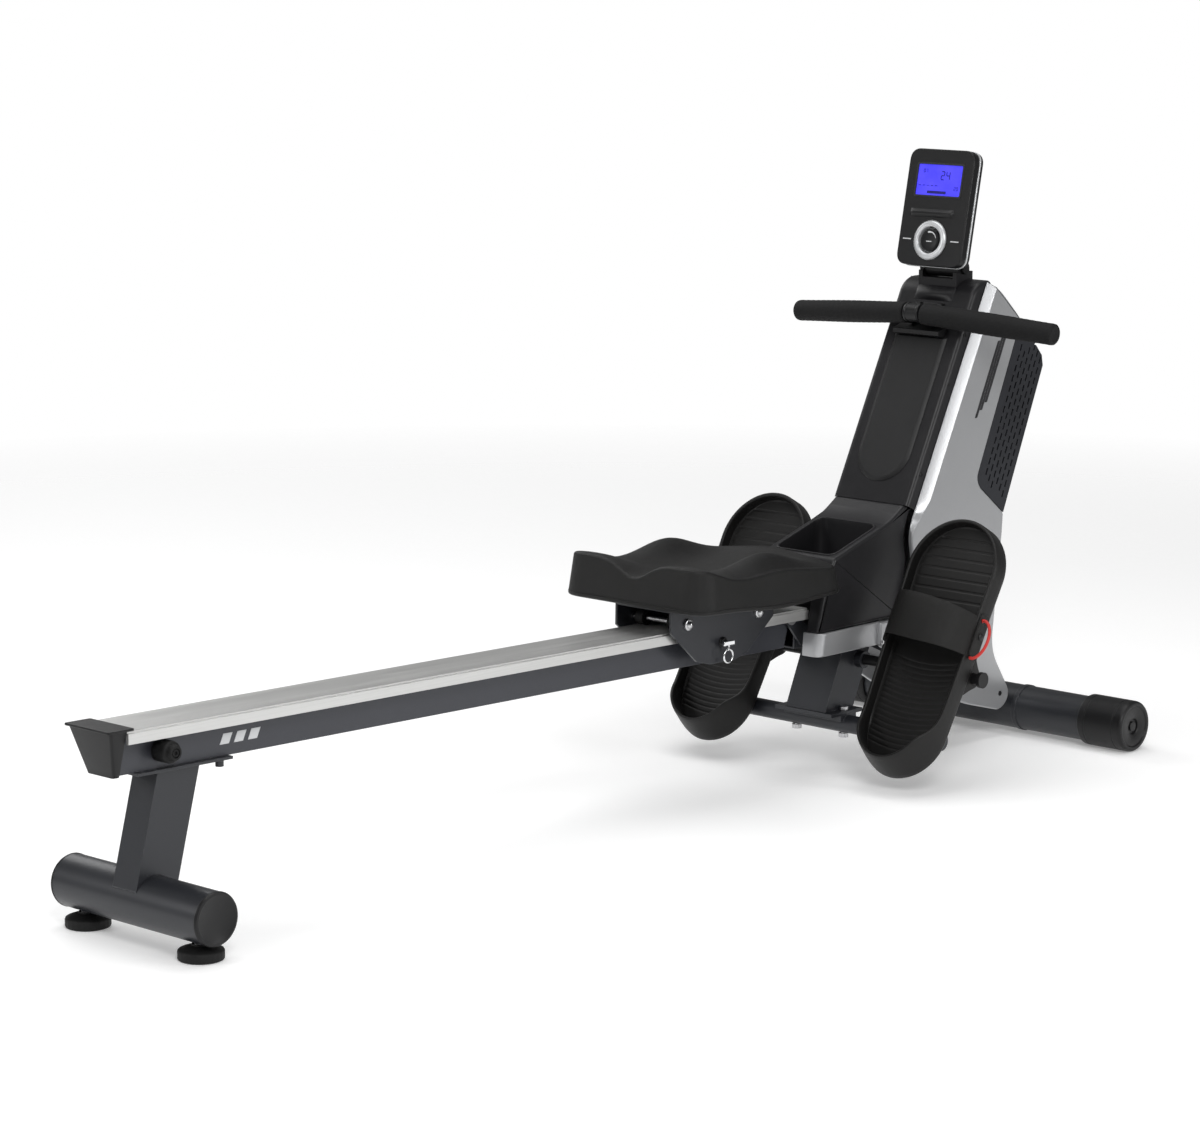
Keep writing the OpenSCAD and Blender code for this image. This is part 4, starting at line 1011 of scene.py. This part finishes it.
def buildConsole():
    c = console
    middle = np.array([0, c["height"] / 2])
    outline = roundBox(c["width"], c["height"], c["corner"], 12) + middle
    case = addRings("consoleFront", onConsole(alongX(plate(outline, 0.0, 0.0150, 0.0022, 6))), "console",
        "trim", ("console_case",))
    window = plate(roundBox(0.095, 0.054, 0.003) + np.array([0, 0.144]), -0.005, 0.0034, 0.0003, 2)
    well = alongX(lathe([(0.0001, -0.01), (0.0243, -0.01), (0.0243, 0.0055), (0.0001, 0.0055)],
        64)) + np.array([0, 0, 0.043])
    carve(case, addRings("window", onConsole(alongX(window)), None, "trim"),
        addRings("well", onConsole(well), None, "trim"))
    # bright trim round the middle, then the back half with its stepped box
    band = roundBox(c["width"] + 0.0016, c["height"] + 0.0016, c["corner"], 12) + middle
    addRings("consoleTrim", onConsole(alongX(plate(band, 0.0150, 0.0185, 0.0008, 4))), "console",
        "brightTrim")
    addRings("consoleBack", onConsole(alongX(plate(outline, 0.0185, c["thick"], 0.0005, 6, topEdge=0.006))),
        "console", "trim")
    box = roundBox(0.088, 0.064, 0.008, 6) + np.array([0, 0.058])
    addRings("consoleBattery", onConsole(alongX(plate(box, 0.0270, 0.0418, 0.0005, 5, topEdge=0.004))),
        "console", "trim")
    slots = [(0.0420, 0.0, 0.040 + i * 0.009, 0.0004, 0.026, 0.0013) for i in range(5)]
    points, faces = bars(slots)
    addPiece("consoleVents", onConsole(points), faces, "console", "panel")
    # sunk frame round the display and the ledge below it
    frameOut = plate(roundBox(0.099, 0.058, 0.005) + np.array([0, 0.144]), -0.0008, 0.0008, 0.0005, 3)
    bezel = addRings("displayBezel", onConsole(alongX(frameOut)), "console", "darkLabel")
    hole = plate(roundBox(0.093, 0.052, 0.003) + np.array([0, 0.144]), -0.01, 0.01, 0.0001, 2)
    carve(bezel, addRings("hole", onConsole(alongX(hole)), None, "trim"))
    t = np.linspace(-1, 1, 40)
    ledgeX = -0.0062 * (1 - np.abs(t) ** 8) ** 0.5
    section = softCorners([(0.001, 0.0815), (-1, 0.0865), (-0.95, 0.0895), (0.001, 0.0955)], 0.0012, 4)
    depth = np.where(section[None, :, 0] < 0, section[None, :, 0] * -ledgeX[:, None], section[None, :, 0])
    ledge = np.stack([depth, np.broadcast_to(0.0455 * t[:, None] + 0.005, depth.shape),
        np.broadcast_to(section[None, :, 1], depth.shape)], axis=-1)
    addRings("consoleLedge", onConsole(ledge), "console", "trim")
    # display: lit glass, figures and the lower bar
    glass = plate(roundBox(0.0932, 0.0522, 0.0015) + np.array([0, 0.144]), 0.0008, 0.0034, 0.0004, 3)
    addRings("displayGlass", onConsole(alongX(glass)), "console", "display", ("console_screen",))
    buildFigures()
    # dial ring, its inner sleeve, the button with a pointer arc, and two plain ticks on the case
    ring = [(0.0226, 0.0022), (0.0226, -0.0040), (0.0236, -0.0052), (0.0262, -0.0060), (0.0300, -0.0054),
        (0.0326, -0.0036), (0.0334, -0.0012),
            (0.0330, -0.0004), (0.0242, -0.0004), (0.0238, 0.0022)]
    place = np.array([0, 0, 0.043])
    addRings("dialRing", onConsole(alongX(lathe(ring, 96)) + place), "dial", "brightTrim",
        ("console_dial",), sharp=50)
    knurl = np.arange(48) * 2 * pi / 48
    points, faces = bars(np.column_stack([np.full(48, -0.0023), 0.0331 * np.cos(knurl),
        0.0331 * np.sin(knurl) + 0.043,
                                          np.full(48, 0.0011), np.full(48, 0.0005), np.full(48, 0.0005)]))
    addPiece("dialKnurl", onConsole(points), faces, "dial", "brightTrim")
    cap = [(0.0001, -0.0046), (0.010, -0.0045), (0.0165, -0.0040), (0.0186, -0.0030), (0.0190, -0.0014),
        (0.0190, 0.0022), (0.0001, 0.0022)]
    addRings("dialButton", onConsole(alongX(lathe(cap, 72)) + place), "button", "trim",
        ("console_button",), sharp=50)
    a = np.linspace(radians(15), radians(110), 36)
    arc = np.column_stack([np.full_like(a, -0.0044), -0.0135 * np.cos(a), 0.043 + 0.0135 * np.sin(a)])
    wide = 0.0011 * np.linspace(0.4, 1.3, 36)[:, None]
    radial = np.column_stack([np.zeros_like(a), -np.cos(a), np.sin(a)])
    raised = np.array([-0.0004, 0, 0])
    rings = np.stack([arc - radial * wide, arc + radial * wide, arc + radial * wide - raised * 2,
        arc - radial * wide - raised * 2], axis=1)
    addRings("buttonArc", onConsole(rings), "button", "label")
    points, faces = bars([(-0.0002, side * 0.050, 0.043, 0.0004, 0.0085, 0.0009) for side in (-1, 1)]
                         + [(-0.0046, 0.0, 0.0405, 0.0003, 0.0055, 0.0008)])
    addPiece("consoleTicks", onConsole(points[:2]), faces[:12], "console", "label")
    addPiece("buttonTick", onConsole(points[2:]), faces[:6], "button", "label")
    # stepped pin heads on the tilt joint
    for side in (-1, 1):
        head = alongY(lathe([(0.0001, 0.0465), (0.0030, 0.0465), (0.0034, 0.0450), (0.0070, 0.0462),
            (0.0080, 0.0452), (0.0082, 0.0408), (0.0001, 0.0408)], 40))
        place = np.array([-0.125, 0, 0.804])
        addRings("tiltBolt" + ("Left" if side > 0 else "Right"), onTower(head * flip(side) + place),
            "console", "trim")
    print("console made")


def buildFigures():
    # seven-stroke figures: each stroke is a short bar, switched on by the figure's list
    strokes = {"a": (0, 1), "b": (0.5, 0.5), "c": (0.5, -0.5), "d": (0, -1), "e": (-0.5, -0.5),
        "f": (-0.5, 0.5), "g": (0, 0)}
    lit = {"2": "abged", "4": "fgbc", "0": "abcdef", "7": "abc"}
    wide, tall = 0.0066, 0.0068
    boxes = []
    for figure, y, scale in (("2", -0.006, 1.0), ("4", -0.017, 1.0), ("0", 0.0335, 0.42), ("7", 0.0285, 0.42),
            ("2", -0.034, 0.42), ("0", -0.039, 0.42)):
        z = 0.152 if scale == 1.0 else (0.159 if abs(y) < 0.034 else 0.131)
        for stroke in lit[figure]:
            dy, dz = strokes[stroke]
            level = stroke in "adg"
            boxes.append((0.0006, y - dy * wide * scale, z + dz * tall * scale, 0.0002,
                          (0.0027 if level else 0.00075) * scale, (0.0008 if level else 0.0029) * scale))
    boxes.append((0.0006, 0.003, 0.1235, 0.0002, 0.0195, 0.0022))
    boxes += [(0.0006, 0.0400 - 0.0086 * i, 0.1345, 0.0002, 0.0026, 0.0005) for i in range(5)]
    points, faces = bars(boxes)
    addPiece("displayFigures", onConsole(points), faces, "console", "ink")


# ---- handlebar and strap ----

handle = {"middle": (-0.203, 0.735), "end": (-0.180, 0.717), "half": 0.275, "grip": 0.0178}


def armPoints(points, side):
    # points with Z along the arm are laid out sideways from the bar's middle, swept forward and down
    run = handle["half"] - 0.006
    (x0, z0), (x1, z1) = handle["middle"], handle["end"]
    far = np.array([x1 - x0, side * run, z1 - z0])
    along = far / np.linalg.norm(far)
    across = np.cross(along, np.array([0, 0, 1.0]))
    across /= np.linalg.norm(across)
    up = np.cross(across, along)
    start = np.array([frontX + x0, 0, z0])
    return start + points[..., :1] * across + points[..., 1:2] * up + points[..., 2:] * along


def buildHandle():
    r = handle["grip"]
    for side, hand in ((1, "Left"), (-1, "Right")):
        # the foam swells a little in the palm and is drawn in at both ends
        t = np.linspace(0, 1, 60)
        long = 0.0185 + t * (handle["half"] - 0.0185 - 0.0065)
        swell = r + 0.0009 * np.sin(pi * t) ** 2 + 0.00018 * np.sin(t * 130)
        profile = [(0.0122, 0.0180), (r - 0.0022, 0.0172), (r - 0.0006, 0.0176)]
        profile += list(zip(swell, long))
        end = handle["half"] - 0.0045
        profile += [(r - 0.0005, end), (r - 0.0022, end + 0.0018), (r - 0.0052, end + 0.0022),
            (r - 0.0060, end + 0.0014), (0.0001, end + 0.0014)]
        stands = ("handle_grips",) if side > 0 else ()
        addRings("gripFoam" + hand, armPoints(lathe(profile, 64), side), "handlebar", "grip",
            stands, sharp=50)
        bar = [(0.0001, 0.001), (0.012, 0.001), (0.012, 0.022), (0.0001, 0.022)]
        stands = ("handle_bar",) if side > 0 else ()
        addRings("barTube" + hand, armPoints(lathe(bar, 48), side), "handlebar", "coat",
            stands)
    # middle collar with two raised rings and the strap's clip
    collar = [(0.0001, -0.0158), (0.0135, -0.0158), (0.0158, -0.0150), (0.0166, -0.0138), (0.0166, -0.0112),
        (0.0156, -0.0100), (0.0156, 0.0100),
              (0.0166, 0.0112), (0.0166, 0.0138), (0.0158, 0.0150), (0.0135, 0.0158), (0.0001, 0.0158)]
    place = np.array([handle["middle"][0], 0, handle["middle"][1]])
    addRings("barCollar", onTower(alongY(lathe(collar, 64)) + place), "handlebar", "trim",
        ("handle_collar",))
    clip = plate(softCorners([(0.009, -0.0055), (0.0195, -0.0045), (0.0195, 0.0028), (0.009, 0.0065)], 0.002,
        4), -0.0134, 0.0134, 0.0015, 4)
    addRings("strapClip", onTower(alongY(clip) + place), "handlebar", "trim")
    # pull strap: a flat woven band from the spool to the clip, in many short rows
    path = np.concatenate([np.column_stack([np.linspace(-0.166, -0.1495, 20),
        np.linspace(0.466, 0.7235, 20)]),
                           softLine([(-0.149, 0.725), (-0.1465, 0.7265), (-0.156, 0.7275)], 0.001, 4)[1:],
                           np.column_stack([np.linspace(-0.158, -0.1868, 30),
                           np.linspace(0.7278, 0.7339, 30)])])
    step = heading(path)
    out = np.column_stack([-step[:, 1], step[:, 0]]) * 0.0009
    y = np.linspace(-0.0124, 0.0124, 9)[None]
    front, back = [np.stack([line[:, :1] + 0 * y, y + 0 * line[:, :1], line[:, 1:] + 0 * y], axis=-1)
                   for line in (path + out, path - out)]
    rings = np.concatenate([front, back[:, ::-1]], axis=1)
    strap = addRings("pullStrap", onTower(rings), None, "web", ("pull_strap",), sharp=60)
    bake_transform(strap)
    print("handlebar and strap made")


# ---- rail, feet and rollers ----

def buildFeet():
    for side, hand in ((1, "Left"), (-1, "Right")):
        place = np.array([rearX, side * 0.120, 0])
        profile = [(0.0001, 0.0), (0.0300, 0.0), (0.0316, 0.0006), (0.0325, 0.0022), (0.0325, 0.0118),
            (0.0316, 0.0136), (0.0296, 0.0146),
                   (0.0270, 0.0152), (0.0180, 0.0190), (0.0132, 0.0204), (0.0126, 0.0222), (0.0052, 0.0224),
                   (0.0050, 0.0440), (0.0001, 0.0440)]
        rings = lathe(profile, 96)
        # grip flutes round the pad's rim
        around = np.arange(96) * 2 * pi / 96
        flute = 1 - 0.014 * (0.5 + 0.5 * np.cos(around * 24)) ** 2
        rim = np.array([1.0 if 3 <= i <= 5 else 0.0 for i in range(len(profile))])[:, None]
        rings[..., :2] *= (1 - rim * (1 - flute)[None])[..., None]
        body = "level_" + hand.lower()
        addRings("levellingPad" + hand, rings + place, body, "rubber",
            ("levelling_foot_" + hand.lower(),))
        nut = plate(softCorners([(0.011 * cos(k * pi / 3), 0.011 * sin(k * pi / 3)) for k in range(6)],
            0.0008, 3), 0.0205, 0.0228, 0.0006, 3)
        addRings("levellingNut" + hand, nut + place, body, "zinc")
        # end caps of the rear foot tube
        cap = [(0.0355, 0.139), (0.0380, 0.1500), (0.0385, 0.1504), (0.0385, 0.1518), (0.0372, 0.1542),
            (0.0340, 0.1550),
               (0.0330, 0.1546), (0.0320, 0.1540), (0.0001, 0.1540)]
        rings = alongY(lathe([(0.0001, 0.139)] + cap, 96)) * flip(side) + np.array([rearX, 0, 0.061])
        addRings("rearCap" + hand, rings, "rail", "trim",
            ("rear_foot_caps",) if side > 0 else ())
        # transport roller: sleeve with fine ribs, stepped end and a sunk bolt
        roller = [(0.0382, 0.2325), (0.0414, 0.2320), (0.0429, 0.2334), (0.0433, 0.2356), (0.0433, 0.2440),
            (0.0427, 0.2446), (0.0427, 0.2466),
                  (0.0433, 0.2472), (0.0433, 0.3020), (0.0427, 0.3026), (0.0427, 0.3046), (0.0433, 0.3052),
                  (0.0433, 0.3150), (0.0427, 0.3185),
                  (0.0408, 0.3212), (0.0380, 0.3220), (0.0350, 0.3214), (0.0335, 0.3196), (0.0150, 0.3190),
                  (0.0135, 0.3180), (0.0128, 0.3150),
                  (0.0080, 0.3148), (0.0078, 0.3180), (0.0001, 0.3184)]
        inner = [(0.0001, 0.3105), (0.03805, 0.3105)]
        rings = alongY(lathe(inner + roller, 96)) * flip(side) + np.array([frontX, 0, 0.0433])
        addRings("transportRoller" + hand, rings, "roller_" + hand.lower(), "trim",
            ("roller_cap_" + hand.lower(),))
        # rubber stop with its washer and socket screw
        stop = [(0.0001, 0.0251), (0.0150, 0.0251), (0.0158, 0.0262), (0.0160, 0.0300), (0.0160, 0.0480),
            (0.0152, 0.0512), (0.0132, 0.0528),
                (0.0118, 0.0530), (0.0114, 0.0580), (0.0100, 0.0596), (0.0070, 0.0600), (0.0068, 0.0575),
                (0.0055, 0.0575), (0.0053, 0.0592),
                (0.0030, 0.0594), (0.0028, 0.0570), (0.0001, 0.0570)]
        rings = alongY(lathe(stop, 64)) * flip(side) + np.array([0.015, 0, -0.038])
        addRings("railStop" + hand, onRail(rings), "rail", "rubber",
            ("rail_bumpers",) if side > 0 else ())
    print("feet, caps and rollers made")


def buildRailEnd():
    # flanged cap: a thin plate over the rail's end and a bucket that narrows downwards
    flange = plate(roundBox(0.046, 0.095, 0.004, 4) + np.array([-0.0695, 0]), 0.0002, 0.0038, 0.0012, 4)
    addRings("capFlange", onRail(flange), "rail", "trim", ("rail_end_cap",))
    t = np.linspace(0, 1, 12)
    rings = []
    for share in t:
        rear = -0.0872 + 0.0185 * share
        half = 0.0450 - 0.0170 * share
        front = -0.0582
        corner = softCorners([(rear, -half), (front, -half), (front, half), (rear, half)],
            [0.004, 0.001, 0.001, 0.004], 5)
        rings.append(np.column_stack([corner, np.full(len(corner), 0.0004 - 0.0655 * share)]))
    rings.append(np.column_stack([corner * [1, 0.96], np.full(len(corner), -0.0662)]))
    addRings("capBucket", onRail(np.array(rings)), "rail", "trim")
    # plain dashes on the rail's side in place of a mark
    boxes = [(0.135 + 0.026 * i, side * 0.0251, -0.040, 0.0085, 0.0002,
        0.0075) for i in range(3) for side in (-1, 1)]
    points, faces = bars(boxes)
    slant = points + np.stack([(points[..., 2] + 0.040) * 0.45, 0 * points[..., 1], 0 * points[..., 2]],
        axis=-1)
    addPiece("railDashes", onRail(slant), faces, "rail", "label")
    print("rail end made")


def buildCarriage():
    # dome nuts on the roller axles and the sprung pull pin with its ring
    for i, (x, side) in enumerate((x, side) for x in (-0.084, 0.084) for side in (-1, 1)):
        nut = [(0.0001, 0.0688), (0.0030, 0.0684), (0.0054, 0.0664), (0.0060, 0.0640), (0.0072, 0.0636),
            (0.0090, 0.0628), (0.0092, 0.0592), (0.0001, 0.0592)]
        rings = alongY(lathe(nut, 36)) * flip(side) + np.array([x, 0, 0.0123])
        addRings("axleNut" + str(i + 1), onSeat(rings), "seat", "zinc")
    y0 = -0.0592
    base = [(0.0001, 0), (0.0085, 0), (0.0088, -0.0010), (0.0080, -0.0020), (0.0068, -0.0030),
        (0.0066, -0.0046), (0.0042, -0.0050), (0.0042, -0.0094), (0.0001, -0.0094)]
    rings = alongY(lathe(base, 48)) + np.array([0, y0, -0.026])
    addRings("pinBush", onSeat(rings), "seat", "trim")
    head = softCorners([(-0.0135, -0.0035), (0.0135, -0.0035), (0.0125, 0.0040), (-0.0125, 0.0040)], 0.0022,
        5)
    rings = alongY(plate(head, -0.0742, -0.0692, 0.0012, 4)) + np.array([0, 0, -0.026])
    addRings("pinHead", onSeat(rings), "lock_pin", "chrome", ("seat_lock_pin",))
    t = np.linspace(0, 1, 24)
    stem = np.column_stack([0.0006 * np.sin(t * 2 * pi), np.full(24, -0.0717), -0.0285 - 0.0085 * t])
    addCord("pinStem", onSeat(stem), 0.0020, "lock_pin", "chrome")
    a = np.arange(48) * 2 * pi / 48
    b = np.arange(12) * 2 * pi / 12
    radius = 0.0105 + 0.0016 * np.cos(b)[None]
    ring = np.stack([radius * np.cos(a)[:, None], np.broadcast_to(-0.0717 + 0.0016 * np.sin(b)[None],
        (48, 12)),
                     radius * np.sin(a)[:, None] - 0.0462], axis=-1)
    addRings("pinRing", onSeat(ring), "lock_pin", "chrome", ring=True)
    print("carriage details made")


def buildFloor():
    half = 90.0
    points = np.array([(-half, -half, -0.0005), (half, -half, -0.0005), (half, half, -0.0005),
        (-half, half, -0.0005)])
    mesh = bpy.data.meshes.new("studioFloor")
    mesh.from_pydata(points.tolist(), [], [(0, 1, 2, 3)])
    mesh.materials.append(paint["floor"])
    floor = bpy.data.objects.new("studioFloor", mesh)
    bpy.context.collection.objects.link(floor)


buildStudio()
dressNodes()
buildFloor()
buildSeat()
for side, hand in ((1, "Left"), (-1, "Right")):
    buildFootPlate(side, hand)
    buildFootStrap(side, hand)
    buildSideShell(side, hand)
print("foot plates and side shells made")
buildFaceCover()
buildNose()
buildConsole()
buildHandle()
buildFeet()
buildRailEnd()
buildCarriage()
